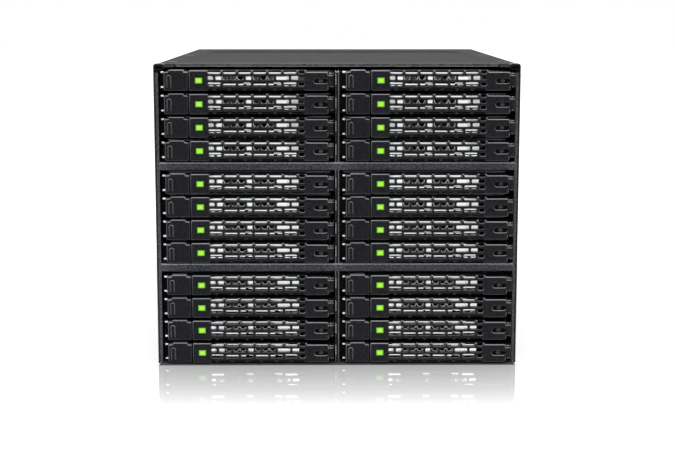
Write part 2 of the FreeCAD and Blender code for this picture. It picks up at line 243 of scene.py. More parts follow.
class Skin:
    """Points and faces of one piece in millimetres, gathered from grids and caps."""

    def __init__(self) -> None:
        """Start with nothing."""
        self.points: list[Array] = []
        self.faces: list[Array] = []
        self.shells: list[Array] = []
        self.edges: list[Array] = []
        self.size = 0
        self.shell = 0

    def add(self, points: Array, faces: Array, edges: float | Array = 0.0) -> None:
        """Add points and the faces between them to the shell in hand.

        Args:
            points: points in space.
            faces: indices of each face's points.
            edges: how much each point lies on a rounded edge, from 0 to 1.
        """
        flat = points.reshape(-1, 3)
        self.points.append(flat)
        self.shells.append(np.full(len(flat), self.shell))
        self.edges.append(np.broadcast_to(edges, points.shape[:-1]).reshape(-1))
        self.faces.append(faces + self.size)
        self.size += len(flat)

    def grid(self, points: Array, edges: float | Array = 0.0) -> None:
        """Join a grid of points with quads: rows run along a profile, columns round a closed loop.

        Args:
            points: rows and columns of points in space.
            edges: edge mark of the points.
        """
        rows, columns = points.shape[:2]
        index = np.arange(rows * columns).reshape(rows, columns)
        index = np.concatenate((index, index[:, :1]), axis=1)
        corners = (index[:-1, :-1], index[1:, :-1], index[1:, 1:], index[:-1, 1:])
        self.add(points, np.stack(corners, axis=-1).reshape(-1, 4), edges)

    def cap(self, facing: Facing, loops: list[Array], start: float, depth: float, behind: bool) -> None:
        """Fill a flat outline with triangles.

        Args:
            facing: way that the plate looks.
            loops: outer loop and holes, as the viewer sees them.
            start: where the face's plane crosses the depth axis.
            depth: how far the cap lies behind that plane.
            behind: whether the cap looks away from the viewer.
        """
        flat = np.concatenate(loops)
        rings = [np.column_stack((loop, np.zeros(len(loop)))).tolist() for loop in loops]
        faces = np.array(tessellate_polygon(rings))
        one, two, three = (flat[faces[:, corner]] for corner in range(3))
        side, other = two - one, three - one
        turned = (side[:, 0] * other[:, 1] - side[:, 1] * other[:, 0] > 0.0) == behind
        faces[turned] = faces[turned, ::-1]
        self.add(facing.place(flat, start, depth), faces)

    def plate(self, facing: Facing, outline: Array, start: float, thick: float, holes: tuple = (),
              edge: float = 0.0, back: float = 0.0, hole_edge: float = 0.0, pressings: tuple = (),
              highlight: float | Array = 1.0, hole_highlight: float | Array = 1.0) -> "Skin":
        """Add a closed plate: its outline's rim profile carried round every loop, with a cap on each side.

        Args:
            facing: way that the face looks.
            outline: outer corners in the two world axes.
            start: where the face's plane crosses the depth axis.
            thick: thickness behind the face.
            holes: outlines cut right through.
            edge: radius of the outer edge at the face.
            back: radius of the edges at the back.
            hole_edge: radius of the holes' edges at the face.
            pressings: outline, depth and slope width of each pressed panel in the face.
            highlight: share of painted edge highlight along the outline.
            hole_highlight: share of painted edge highlight at each hole.

        Returns:
            This skin.
        """
        self.shell += 1
        fronts, backs = [], []
        loops = [(facing.flat(outline), edge, np.broadcast_to(highlight, len(outline)))]
        loops += [(facing.flat(hole)[::-1], hole_edge, np.full(len(hole), share))
                  for hole, share in zip(holes, np.broadcast_to(hole_highlight, len(holes)))]
        # each loop carries its share of painted edge highlight
        for loop, radius, highlighted in loops:
            inset, depth = rim(radius, back, thick)
            rings = loop + inset[:, None, None] * inward(loop)
            self.grid(facing.place(rings, start, depth[:, None]), edge_marks(depth, radius)[:, None] * highlighted)
            fronts.append(rings[0])
            backs.append(rings[-1])
        for pressed, deep, slope in pressings:
            loop = facing.flat(pressed)[::-1]
            share = np.linspace(0.0, 1.0, 2 * EDGE_STEPS + 1)
            rings = loop + (slope * (0.5 - share))[:, None, None] * inward(loop)
            depth = deep * 0.5 * (1.0 - np.cos(math.pi * share))
            self.grid(facing.place(rings, start, depth[:, None]))
            fronts.append(rings[0])
            self.cap(facing, [rings[-1]], start, deep, False)
        self.cap(facing, fronts, start, 0.0, False)
        self.cap(facing, backs, start, thick, True)
        return self

    def loft(self, facing: Facing, outline: Array, start: float, scales: Array, depths: Array) -> None:
        """Add a crowned block: rings are the outline scaled about its middle, each at its own depth.

        Args:
            facing: way that the crown looks.
            outline: outer corners in the two world axes.
            start: where the crown's plane crosses the depth axis.
            scales: size of each ring, from the crown to the back.
            depths: depth of each ring.
        """
        self.shell += 1
        loop = facing.flat(outline)
        middle = loop.mean(axis=0)
        rings = middle + np.asarray(scales)[:, None, None] * (loop - middle)
        self.grid(facing.place(rings, start, np.asarray(depths)[:, None]))
        self.cap(facing, [rings[0]], start, depths[0], False)
        self.cap(facing, [rings[-1]], start, depths[-1], True)

    def lean(self, middle: float, slope: float) -> None:
        """Lean what is built so far: points move back in proportion to their height over a middle line.

        Args:
            middle: height that stays in place.
            slope: way back for each step up.
        """
        self.points = [part + np.outer(part[:, 2] - middle, (0.0, slope, 0.0)) for part in self.points]

    def make(self, name: str, finish: "Finish", origin: Place) -> bpy.types.Object:
        """Make the piece's object at the origin, with its place in its mesh.

        Args:
            name: name of the piece.
            finish: finish that gives its material.
            origin: where the skin's own zero lies, in metres.

        Returns:
            The new object.
        """
        points = np.concatenate(self.points)
        keys = np.column_stack((np.concatenate(self.shells), np.round(points, WELD_DIGITS)))
        _, first, index = np.unique(keys, axis=0, return_index=True, return_inverse=True)
        index = index.reshape(-1)
        faces = [face for part in self.faces for face in index[part].tolist()]
        mesh = bpy.data.meshes.new(name)
        mesh.from_pydata((points[first] * MM + np.asarray(origin)).tolist(), [], faces)
        mesh.validate()
        mesh.shade_smooth()
        mesh.set_sharp_from_angle(angle=SHARP_ANGLE)
        mesh.materials.append(finish.material())
        finish.mark(mesh, points[first], np.concatenate(self.edges)[first])
        piece = bpy.data.objects.new(name, mesh)
        bpy.context.scene.collection.objects.link(piece)
        even = piece.modifiers.new("even shading", "WEIGHTED_NORMAL")
        even.keep_sharp = True
        return piece


class Graph:
    """A node tree with short calls for nodes and links."""

    def __init__(self, tree: bpy.types.NodeTree) -> None:
        """Keep the tree."""
        self.tree = tree

    def node(self, kind: str, **values: object) -> Node:
        """Add a node.

        Args:
            kind: kind of the node.
            values: the node's own properties.

        Returns:
            The new node.
        """
        made = self.tree.nodes.new(kind)
        for key, value in values.items():
            setattr(made, key, value)
        return made

    def link(self, source: Socket, target: Socket) -> None:
        """Join an output to an input."""
        self.tree.links.new(source, target)

    def feed(self, target: Socket, given: Socket | Colour | float) -> None:
        """Give an input what it takes.

        Args:
            target: the input.
            given: an output to join to it, or a fixed colour or number.
        """
        if isinstance(given, Socket):
            self.link(given, target)
        elif isinstance(given, tuple):
            target.default_value = given + (1.0,)
        else:
            target.default_value = given

    def math(self, operation: str, *given: Socket | float) -> Socket:
        """Work out a value.

        Args:
            operation: what is done with the inputs.
            given: the inputs in order.

        Returns:
            The result's output.
        """
        made = self.node("ShaderNodeMath", operation=operation)
        for target, value in zip(made.inputs, given):
            self.feed(target, value)
        return made.outputs[0]

    def mix(self, share: Socket, first: Socket | Colour, second: Socket | Colour) -> Socket:
        """Mix two colours.

        Args:
            share: share of the second colour.
            first: first colour.
            second: second colour.

        Returns:
            The mixed colour's output.
        """
        made = self.node("ShaderNodeMix", data_type="RGBA")
        self.link(share, made.inputs["Factor"])
        self.feed(made.inputs[MIX_FIRST], first)
        self.feed(made.inputs[MIX_SECOND], second)
        return made.outputs[MIX_RESULT]

    def spread(self, source: Socket, low: Pair, high: Pair) -> Socket:
        """Carry a value from one range to another, kept within it.

        Args:
            source: output that holds the value.
            low: range that it comes from.
            high: range that it goes to.

        Returns:
            The output that holds the new value.
        """
        made = self.node("ShaderNodeMapRange")
        self.link(source, made.inputs["Value"])
        for name, value in zip(("From Min", "From Max", "To Min", "To Max"), low + high):
            made.inputs[name].default_value = value
        return made.outputs["Result"]


FINE_BAND: Pair = (0.32, 0.68)
FINE_DETAIL = 2.0
WIDE_BAND: Pair = (0.3, 0.7)
# Painted edge highlight: how much the patches vary it, and how much more it shows where edges look up.
UNEVEN_HIGHLIGHT: Pair = (0.75, 1.0)
UPWARD_BAND: Pair = (-0.3, 0.6)
UPWARD_HIGHLIGHT: Pair = (0.15, 1.0)


def group_graph(name: str, takes: tuple[str, ...], vector: str, gives: tuple[str, ...]) -> Graph:
    """Make an empty node group.

    Args:
        name: name of the group.
        takes: names of its number inputs.
        vector: name of its vector input.
        gives: names of its number outputs.

    Returns:
        The graph of the new group.
    """
    group = bpy.data.node_groups.new(name, "ShaderNodeTree")
    group.interface.new_socket(vector, in_out="INPUT", socket_type="NodeSocketVector")
    for socket in takes:
        group.interface.new_socket(socket, in_out="INPUT", socket_type="NodeSocketFloat")
    for socket in gives:
        group.interface.new_socket(socket, in_out="OUTPUT", socket_type="NodeSocketFloat")
    return Graph(group)


def grain_group() -> bpy.types.NodeTree:
    """Give the shared grain: fine noise as a tone and a height, and wide patches as a second tone.

    Returns:
        The node group, made once.
    """
    known = bpy.data.node_groups.get("surface grain")
    if known:
        return known
    graph = group_graph("surface grain", ("Grains", "Patches"), "Coordinates", ("Tone", "Height", "Patch"))
    given = graph.node("NodeGroupInput")
    result = graph.node("NodeGroupOutput")
    fine = graph.node("ShaderNodeTexNoise")
    fine.inputs["Detail"].default_value = FINE_DETAIL
    wide = graph.node("ShaderNodeTexNoise")
    for noise, scale in ((fine, "Grains"), (wide, "Patches")):
        graph.link(given.outputs["Coordinates"], noise.inputs["Vector"])
        graph.link(given.outputs[scale], noise.inputs["Scale"])
    graph.link(graph.spread(fine.outputs["Fac"], FINE_BAND, UNIT), result.inputs["Tone"])
    graph.link(fine.outputs["Fac"], result.inputs["Height"])
    graph.link(graph.spread(wide.outputs["Fac"], WIDE_BAND, UNIT), result.inputs["Patch"])
    return graph.tree


def edge_highlight_group() -> bpy.types.NodeTree:
    """Give the shared painted edge highlight: the mesh's edge mark, strongest where it looks up as if lit
    from above, uneven by the patches.

    Returns:
        The node group, made once.
    """
    known = bpy.data.node_groups.get("painted edge highlight")
    if known:
        return known
    graph = group_graph("painted edge highlight", ("Edge", "Patch"), "Normal", ("Mask",))
    given = graph.node("NodeGroupInput")
    result = graph.node("NodeGroupOutput")
    uneven = graph.spread(given.outputs["Patch"], UNIT, UNEVEN_HIGHLIGHT)
    way = graph.node("ShaderNodeSeparateXYZ")
    graph.link(given.outputs["Normal"], way.inputs["Vector"])
    # painted light from above: edges that look up get more of the highlight
    upward = graph.spread(way.outputs["Z"], UPWARD_BAND, UPWARD_HIGHLIGHT)
    highlighted = graph.math("MULTIPLY", given.outputs["Edge"], uneven)
    graph.link(graph.math("MULTIPLY", highlighted, upward), result.inputs["Mask"])
    return graph.tree


@dataclass(frozen=True)
class Finish:
    """Painted, moulded or bare surface: two close tones in a grain, with patches, gloss and relief."""

    name: str
    dark: Colour
    light: Colour
    rough: Pair = (0.4, 0.55)
    grains: float = 2500.0
    stretch: Place = (1.0, 1.0, 1.0)
    patches: float = 45.0
    patch_value: Pair = (0.9, 1.1)
    relief: float = 0.12
    specular: float = 0.3
    metallic: float = 0.0
    # colour of the painted highlight on rounded edges; None paints none
    edge: Colour | None = None

    def start(self) -> tuple[bpy.types.Material, Graph, Node, Node]:
        """Make an empty material.

        Returns:
            The material, its graph, its shader and its grain node.
        """
        material = bpy.data.materials.new(self.name)
        material.use_nodes = True
        material.node_tree.nodes.clear()
        graph = Graph(material.node_tree)
        shader = graph.node("ShaderNodeBsdfPrincipled")
        shader.inputs["Specular IOR Level"].default_value = self.specular
        shader.inputs["Metallic"].default_value = self.metallic
        output = graph.node("ShaderNodeOutputMaterial")
        graph.link(shader.outputs["BSDF"], output.inputs["Surface"])
        place = graph.node("ShaderNodeTexCoord")
        mapping = graph.node("ShaderNodeMapping")
        mapping.inputs["Scale"].default_value = self.stretch
        graph.link(place.outputs["Object"], mapping.inputs["Vector"])
        grain = graph.node("ShaderNodeGroup", node_tree=grain_group())
        grain.inputs["Grains"].default_value = self.grains
        grain.inputs["Patches"].default_value = self.patches
        graph.link(mapping.outputs["Vector"], grain.inputs["Coordinates"])
        return material, graph, shader, grain

    def colour(self, graph: Graph, grain: Node) -> Socket:
        """Give the colour: the two tones mixed by the grain, lifted and lowered by the patches, with the
        painted edge highlight mixed in.

        Args:
            graph: the material's graph.
            grain: its grain node.

        Returns:
            The output that holds the colour.
        """
        shade = graph.node("ShaderNodeHueSaturation")
        graph.link(graph.mix(grain.outputs["Tone"], self.dark, self.light), shade.inputs["Color"])
        graph.link(graph.spread(grain.outputs["Patch"], UNIT, self.patch_value), shade.inputs["Value"])
        if self.edge is None:
            return shade.outputs["Color"]
        mark = graph.node("ShaderNodeAttribute", attribute_name="edge")
        highlighted = graph.node("ShaderNodeGroup", node_tree=edge_highlight_group())
        graph.link(mark.outputs["Fac"], highlighted.inputs["Edge"])
        graph.link(grain.outputs["Patch"], highlighted.inputs["Patch"])
        graph.link(graph.node("ShaderNodeNewGeometry").outputs["Normal"], highlighted.inputs["Normal"])
        return graph.mix(highlighted.outputs["Mask"], shade.outputs["Color"], self.edge)

    def surface(self, graph: Graph, shader: Node, grain: Node) -> None:
        """Set the gloss and the relief by the grain.

        Args:
            graph: the material's graph.
            shader: its shader.
            grain: its grain node.
        """
        graph.link(graph.spread(grain.outputs["Tone"], UNIT, self.rough), shader.inputs["Roughness"])
        bump = graph.node("ShaderNodeBump")
        bump.inputs["Strength"].default_value = self.relief
        bump.inputs["Distance"].default_value = BUMP_DEPTH
        graph.link(grain.outputs["Height"], bump.inputs["Height"])
        graph.link(bump.outputs["Normal"], shader.inputs["Normal"])

    def material(self) -> bpy.types.Material:
        """Give the finish's material.

        Returns:
            The material, made once.
        """
        known = bpy.data.materials.get(self.name)
        if known:
            return known
        material, graph, shader, grain = self.start()
        graph.link(self.colour(graph, grain), shader.inputs["Base Color"])
        self.surface(graph, shader, grain)
        return material

    def mark(self, mesh: bpy.types.Mesh, points: Array, edges: Array) -> None:
        """Write the edge marks where the finish paints a highlight on its edges.

        Args:
            mesh: mesh of the piece.
            points: its points in millimetres.
            edges: edge mark of each point.
        """
        if self.edge is not None:
            marks = mesh.attributes.new("edge", "FLOAT", "POINT")
            marks.data.foreach_set("value", edges.astype(np.float32))


@dataclass(frozen=True)
class Glow(Finish):
    """Lit light pipe: emission that falls off to its edge by the mesh's glow mark, weaker in mirrors."""

    rim: Colour = (0.02, 0.05, 0.01)
    centre: Colour = (0.42, 1.0, 0.055)
    middle: Pair = (0.0, 0.0)
    half_width: float = 1.0
    half_height: float = 1.0
    lit_depth: float = 0.3
    falloff: float = 2.5
    mirrored: float = 0.2
    strength: float = 1.0
    end_rough: float = 0.35

    def surface(self, graph: Graph, shader: Node, grain: Node) -> None:
        """Set the emission and an even gloss.

        Args:
            graph: the material's graph.
            shader: its shader.
            grain: its grain node, which only the colour uses.
        """
        mark = graph.node("ShaderNodeAttribute", attribute_name="glow")
        ray = graph.node("ShaderNodeLightPath")
        seen = graph.spread(ray.outputs["Is Glossy Ray"], UNIT, (1.0, self.mirrored))
        lit = graph.math("MULTIPLY", mark.outputs["Fac"], seen)
        graph.link(graph.mix(lit, self.rim, self.centre), shader.inputs["Emission Color"])
        shader.inputs["Emission Strength"].default_value = self.strength
        shader.inputs["Roughness"].default_value = self.end_rough

    def mark(self, mesh: bpy.types.Mesh, points: Array, edges: Array) -> None:
        """Write the glow: one at the middle of the end, less towards its edge, nothing along the rod.

        Args:
            mesh: mesh of the light pipe.
            points: its points in millimetres about the tray's middle.
            edges: edge mark of each point, which the glow does not use.
        """
        across = np.abs(points[:, 0] - self.middle[0]) / self.half_width
        upright = np.abs(points[:, 2] - self.middle[1]) / self.half_height
        glow = 1.0 - np.clip(np.maximum(across, upright), 0.0, 1.0) ** self.falloff
        glow = np.where(points[:, 1] < self.lit_depth, glow, 0.0)
        marks = mesh.attributes.new("glow", "FLOAT", "POINT")
        marks.data.foreach_set("value", glow.astype(np.float32))


@dataclass(frozen=True)
class Laminate(Finish):
    """Circuit board: solder mask with a net of slightly lighter conductor lines."""

    trace: Colour = (0.02, 0.12, 0.05)
    trace_pitch: float = 420.0
    trace_width: float = 0.05

    def colour(self, graph: Graph, grain: Node) -> Socket:
        """Give the mask's colour with the conductor lines laid over it.

        Args:
            graph: the material's graph.
            grain: its grain node.

        Returns:
            The output that holds the colour.
        """
        mask = super().colour(graph, grain)
        place = graph.node("ShaderNodeTexCoord")
        turn = graph.node("ShaderNodeMapping")
        turn.inputs["Rotation"].default_value = (math.pi / 2.0, 0.0, 0.0)
        graph.link(place.outputs["Object"], turn.inputs["Vector"])
        lines = graph.node("ShaderNodeTexBrick")
        lines.inputs["Scale"].default_value = self.trace_pitch
        lines.inputs["Mortar Size"].default_value = self.trace_width
        graph.link(turn.outputs["Vector"], lines.inputs["Vector"])
        return graph.mix(lines.outputs["Fac"], mask, self.trace)


@dataclass(frozen=True)
class Metal(Finish):
    """Bare metal: the grain of a finish on a fully metallic surface."""

    specular: float = 0.5
    metallic: float = 1.0


# Edge colours below are painted highlights: the edge highlight group lays them on rounded edges, strongest
# where they look up.
CAGE_PAINT = Finish("cage powder coat", (0.01, 0.01, 0.012), (0.05, 0.05, 0.056), (0.5, 0.7), 1100.0,
                    relief=0.35, specular=0.2, edge=(0.4, 0.4, 0.42))
DIVIDER_PAINT = replace(CAGE_PAINT, name="divider powder coat", edge=(0.8, 0.8, 0.83))
BAR_PAINT = replace(CAGE_PAINT, name="bar powder coat", dark=(0.03, 0.03, 0.036),
                    light=(0.15, 0.15, 0.176), edge=(0.85, 0.85, 0.88))
BARE_EDGE = Metal("divider bare edge", (0.26, 0.26, 0.27), (0.46, 0.46, 0.48), (0.3, 0.45), 1500.0,
                  relief=0.05)
# Light coat that paints the highlight along the bars' top lips and the cover's hem.
LIP_HIGHLIGHT_PAINT = replace(CAGE_PAINT, name="bar lip painted highlight coat", dark=(0.2, 0.2, 0.21), light=(0.62, 0.62, 0.65))
COVER_PAINT = Finish("cover powder coat", (0.018, 0.018, 0.017), (0.056, 0.055, 0.053), (0.6, 0.8), 700.0,
                     relief=0.25, specular=0.12, edge=(0.45, 0.45, 0.45))
# Lighter copy of the cover coat that paints the highlight on the cover's front fold.
FOLD_HIGHLIGHT_PAINT = replace(COVER_PAINT, name="cover fold painted highlight coat", dark=(0.08, 0.08, 0.078), light=(0.21, 0.21, 0.2))
LEVER_PAINT = Finish("lever satin paint", (0.003, 0.003, 0.004), (0.02, 0.021, 0.025), (0.4, 0.55), 1700.0,
                     relief=0.15, specular=0.15, edge=(0.5, 0.51, 0.54))
RELEASE_PLASTIC = Finish("release moulded plastic", (0.003, 0.003, 0.004), (0.017, 0.018, 0.022),
                         (0.42, 0.58), 1900.0, relief=0.12, specular=0.15, edge=(0.46, 0.47, 0.5))
DARK_STEEL = Finish("blackened steel", (0.004, 0.004, 0.004), (0.01, 0.01, 0.01), (0.45, 0.6), 2600.0,
                    specular=0.12)
# Its near-white edge colour paints glints on the hinge ears and the vent rims.
EDGED_STEEL = replace(DARK_STEEL, name="blackened steel with painted edge glints", edge=(0.95, 0.95, 0.97))
POST_GLOSS = Finish("corner post gloss", (0.002, 0.002, 0.002), (0.005, 0.005, 0.005), (0.22, 0.3), 2600.0,
                    relief=0.02, specular=0.12)
LINER_METAL = Metal("liner bright plate", (0.88, 0.89, 0.9), (0.97, 0.97, 0.97), (0.12, 0.22), 1200.0,
                    (0.1, 1.0, 1.0), relief=0.02)
TRAY_METAL = Metal("tray bright steel", (0.62, 0.63, 0.64), (0.86, 0.86, 0.86), (0.18, 0.32), 900.0,
                   (0.05, 1.0, 1.0), relief=0.05)
DRIVE_METAL = Metal("drive brushed aluminium", (0.3, 0.31, 0.32), (0.46, 0.47, 0.48), (0.3, 0.45), 1400.0,
                    (1.0, 0.04, 1.0), relief=0.05)
LOCK_METAL = Metal("lock darkened steel", (0.04, 0.04, 0.04), (0.11, 0.11, 0.11), (0.3, 0.45), 2500.0)
SCREW_METAL = Metal("screw zinc", (0.34, 0.34, 0.35), (0.55, 0.55, 0.56), (0.28, 0.4), 3000.0)
SOCKET_PLASTIC = Finish("socket moulded plastic", (0.01, 0.01, 0.01), (0.022, 0.022, 0.022), (0.4, 0.55))
PORT_SHELL = Metal("port plated shell", (0.5, 0.5, 0.49), (0.7, 0.7, 0.69), (0.25, 0.38), 1200.0)
FAN_PLASTIC = Finish("fan glass-filled plastic", (0.012, 0.012, 0.013), (0.026, 0.026, 0.028), (0.45, 0.6),
                     1800.0, relief=0.2)
BOARD = Laminate("board laminate", (0.008, 0.05, 0.022), (0.014, 0.074, 0.034), (0.3, 0.42), 1600.0,
                 relief=0.04, specular=0.45)


@dataclass
class SubAssembly:
    """Pieces that belong together, with sizes in millimetres from their own zero and depths from the front.

    The origin is where that zero lies, in metres. The rows are the middle heights of the trays, from the top.
    """

    origin: Place
    rows: Row = ()

    def piece(self, name: str, skin: Skin, finish: Finish, slot: str, body: str, *nodes: str) -> None:
        """Make a piece, let it ride and hide the construction nodes that it stands for.

        Args:
            name: name of the piece.
            skin: its points and faces.
            finish: its finish.
            slot: material slot of the record; not used.
            body: body that carries it.
            nodes: construction nodes that the piece stands for.
        """
        piece = skin.make(name, finish, self.origin)
        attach(piece, body)
        if nodes:
            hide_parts(*nodes)
        LOG.info("%s on %s, %d faces", name, body, len(piece.data.polygons))


@dataclass
class TrayPart(SubAssembly):
    """Pieces of one tray that ride on the body that is named for them and the tray's number."""

    number: int = 1
    prefix: str = "tray"

    @property
    def body(self) -> str:
        """Give the name of the body."""
        return f"{self.prefix}_{self.number:02d}"


@dataclass
class TrayFace(TrayPart):
    """What a tray shows at the front: swing lever, push release, light and lock."""

    prefix: str = "lever"
    # Folded lever
    left: float = -22.9
    right: float = 33.1
    half_height: float = 4.05
    step_x: float = 24.2
    end_top: float = 3.4
    depth: float = 7.0
    sheet: float = 1.0
    flange: float = 0.5
    edge: float = 0.38
    corner_round: float = 0.5
    end_round: float = 0.9
    step_rounds: Pair = (0.2, 0.3)
    flange_round: float = 0.4
    flange_edge: float = 0.12
    # Vent slots
    slot_length: float = 5.2
    slot_height: float = 1.5
    slot_corners: Row = (0.7, 0.45, 0.65, 0.7)
    notch_round: float = 0.49
    slot_pitch: float = 6.09
    slots: int = 6
    slot_first: float = -15.4
    slot_end: float = 23.5
    row_z: Row = (3.52, 1.05, -1.42, -3.89)
    wrap: float = 1.6
    # Painted edge highlight
    slot_highlight: float = 0.3
    end_slot_highlight: float = 0.8
    highlight_room: float = 0.1
    highlight_rim: float = 0.02
    highlight_drop: float = 0.6
    # Bright bracket
    liner_x: Pair = (-14.1, 16.7)
    liner_z: Pair = (-1.1, 3.3)
    liner_y: float = 2.3
    liner_sheet: float = 0.5
    liner_lean: float = 0.12
    liner_round: float = 0.2
    web_room: float = 0.1
    wing_x: Pair = (-16.2, 20.9)
    wing_z: Pair = (-0.9, 3.3)
    wing_sheet: float = 0.4
    front_rolls: tuple[Pair, ...] = ((-16.2, -10.0), (14.6, 20.9))
    rear_rolls: tuple[Pair, ...] = ((-1.0, 2.0), (10.95, 14.6))
    roll_low: float = -2.2
    roll_back: float = 0.5
    roll_steps: int = 7
    # Bare inner side
    backing_sheet: float = 0.05
    backing_lap: float = 0.4
    backing_room: float = 0.06
    backing_z: Pair = (-2.7, 2.7)
    # Round vents and windows
    vent_radius: float = 1.2
    vent_edge: float = 0.26
    vent_rim: float = 0.24
    vent_rim_sheet: float = 0.1
    vent_rim_edge: float = 0.08
    vent_z: float = 1.3
    vent_sheet: float = 0.4
    vents: Row = (-8.35, -5.3, -2.35, 3.95, 6.95, 9.9)
    window_x: tuple[Pair, ...] = ((-10.0, -1.0), (2.0, 10.95))
    window_z: Pair = (-1.4, 2.6)
    window_round: float = 0.5
    bead_z: float = -1.66
    bead_height: float = 0.7
    window_lap: float = 0.6
    # Light pipe
    light_x: float = -19.0
    light_width: float = 3.1
    light_height: float = 2.45
    light_round: float = 0.35
    pipe_room: float = 0.04
    pipe_round: float = 0.34
    pipe_front: float = 0.06
    pipe_scales: Row = (0.1, 0.35, 0.55, 0.7, 0.85, 0.95, 1.0, 1.0, 1.0)
    pipe_depths: Row = (0.0, 0.005, 0.015, 0.03, 0.06, 0.12, 0.2, 0.4, 6.0)
    pipe_dark: Colour = (0.03, 0.10, 0.01)
    pipe_light: Colour = (0.05, 0.14, 0.02)
    # Lock
    lock: Pair = (30.0, -0.2)
    lock_width: float = 5.6
    lock_height: float = 2.0
    core_radius: float = 0.9
    core_front: float = 0.7
    core_head: float = 0.8
    core_length: float = 3.3
    key_size: Pair = (0.45, 1.4)
    key_round: float = 0.1
    key_edge: float = 0.05
    seat_room: float = 0.05
    seat_lap: float = 0.8
    seat_round: float = 0.5
    seat_setback: float = 0.9
    seat_sheet: float = 1.2
    # Hinge tongue
    hinge_x: float = 34.0
    hinge_radius: float = 1.25
    tongue_half: float = 2.1
    tongue_cap: float = 0.25
    tongue_back: float = 0.25
    tongue_root: float = 0.4
    tongue_setback: float = 0.03
    tongue_steps: int = 9
    # Push release
    release_x: Pair = (-33.0, -23.4)
    release_z: Place = (-4.05, 3.4, 4.2)
    release_depth: float = 5.2
    release_face: float = 0.3
    shoulder: float = 1.7
    release_rounds: Row = (0.5, 0.5, 0.6, 0.3, 0.5, 0.5, 0.3, 0.6)
    release_edge: float = 0.3
    rib_x: Pair = (-32.0, -30.0)
    rib_z: Pair = (-2.9, 2.2)
    rib_width: float = 0.45
    rib_turn: float = 0.45
    rib_round: float = 0.1
    rib_root: float = 0.2
    rib_edge: float = 0.18

    def carrier(self, moving: str) -> tuple[str, ...]:
        """Give the body that carries a small piece: its own where it has a joint, and then its node."""
        return (moving, moving) if self.number == 1 else (self.body,)

    def slot_spans(self, row: int) -> Array:
        """Give the ends of a row's slots; odd rows start with a half slot, even rows end with one.

        Args:
            row: number of the row from the top.

        Returns:
            The left and the right end of each slot.
        """
        first = self.slot_first + (row % 2) * self.slot_pitch / 2.0
        left = first + self.slot_pitch * np.arange(self.slots)
        spans = np.column_stack((left, left + self.slot_length))
        gap = self.slot_pitch - self.slot_length
        if row % 2:
            return np.vstack(((self.slot_first, first - gap), spans))
        return np.vstack((spans, (spans[-1, 1] + gap, self.slot_end)))

    def slot_holes(self, row: int, room: float) -> list[Array]:
        """Give the outlines of a row of closed slots.

        Args:
            row: number of the row from the top.
            room: how much wider each slot is on every side.

        Returns:
            One rounded outline for each slot.
        """
        reach = self.slot_height / 2.0 + room
        low, high = self.row_z[row] - reach, self.row_z[row] + reach
        return [rounded(box_outline(left - room, low, right + room, high), self.slot_corners[row])
                for left, right in self.slot_spans(row)]

    def notched(self, spans: Array, edge: float, deep: float) -> tuple[list[Pair], list[float]]:
        """Cut slots into one straight edge of an outline.

        Args:
            spans: left and right ends of the slots.
            edge: where the edge lies.
            deep: where the slots' closed side lies.

        Returns:
            The edge's points from left to right, and their radii.
        """
        corner = self.notch_round * self.slot_height
        points: list[Pair] = []
        radii: list[float] = []
        for low, high in spans:
            points += [(low, edge), (low, deep), (high, deep), (high, edge)]
            radii += [0.0, corner, corner, 0.0]
        return points, radii

    def face_outline(self) -> Array:
        """Give the lever's face: lower at its lock end, its long edges cut by the outermost slot rows.

        Returns:
            The face's rounded outline.
        """
        reach = self.slot_height / 2.0
        left, right, half = self.left, self.right, self.half_height
        low, low_radii = self.notched(self.slot_spans(3), -half, self.row_z[3] + reach)
        high, high_radii = self.notched(self.slot_spans(0), half, self.row_z[0] - reach)
        points = [(left, -half), *low, (right, -half), (right, self.end_top), (self.step_x, self.end_top),
                  (self.step_x, half), *high[::-1], (left, half)]
        corner, end = self.corner_round, self.end_round
        radii = [corner, *low_radii, end, end, *self.step_rounds, *high_radii[::-1], corner]
        return rounded(points, radii)

    def face_highlight(self, outline: Array) -> Array:
        """Give the painted edge highlight along the face's outline: full on its outer edges, little inside
        the slots.

        Args:
            outline: the face's outline.

        Returns:
            The share of painted highlight at each of its points.
        """
        x, z = outline.T
        room = self.highlight_room
        inside = (np.abs(z) < self.half_height - self.highlight_rim) & (x < self.slot_end + room)
        inside &= x > self.slot_first - room
        inside |= (x < self.left + room) & (z < self.half_height - self.highlight_drop)
        return np.where(inside, self.slot_highlight, 1.0)

    def flange_outline(self, row: int, right: float) -> Array:
        """Give a folded edge of the lever, cut at its front by the slot row that wraps over the fold.

        Args:
            row: number of that slot row.
            right: where the fold ends.

        Returns:
            The fold's rounded outline.
        """
        front, radii = self.notched(self.slot_spans(row), self.edge, self.wrap)
        points = [(self.left, self.edge), *front, (right, self.edge), (right, self.depth),
                  (self.left, self.depth)]
        return rounded(points, [0.0, *radii, 0.0, self.flange_round, self.flange_round])

    def lever(self) -> None:
        """Build the lever: slotted face and its folded edges."""
        skin = Skin()
        window = around(self.light_x, 0.0, self.light_width, self.light_height)
        holes = [rounded(window, self.light_round), obround(*self.lock, self.lock_width, self.lock_height)]
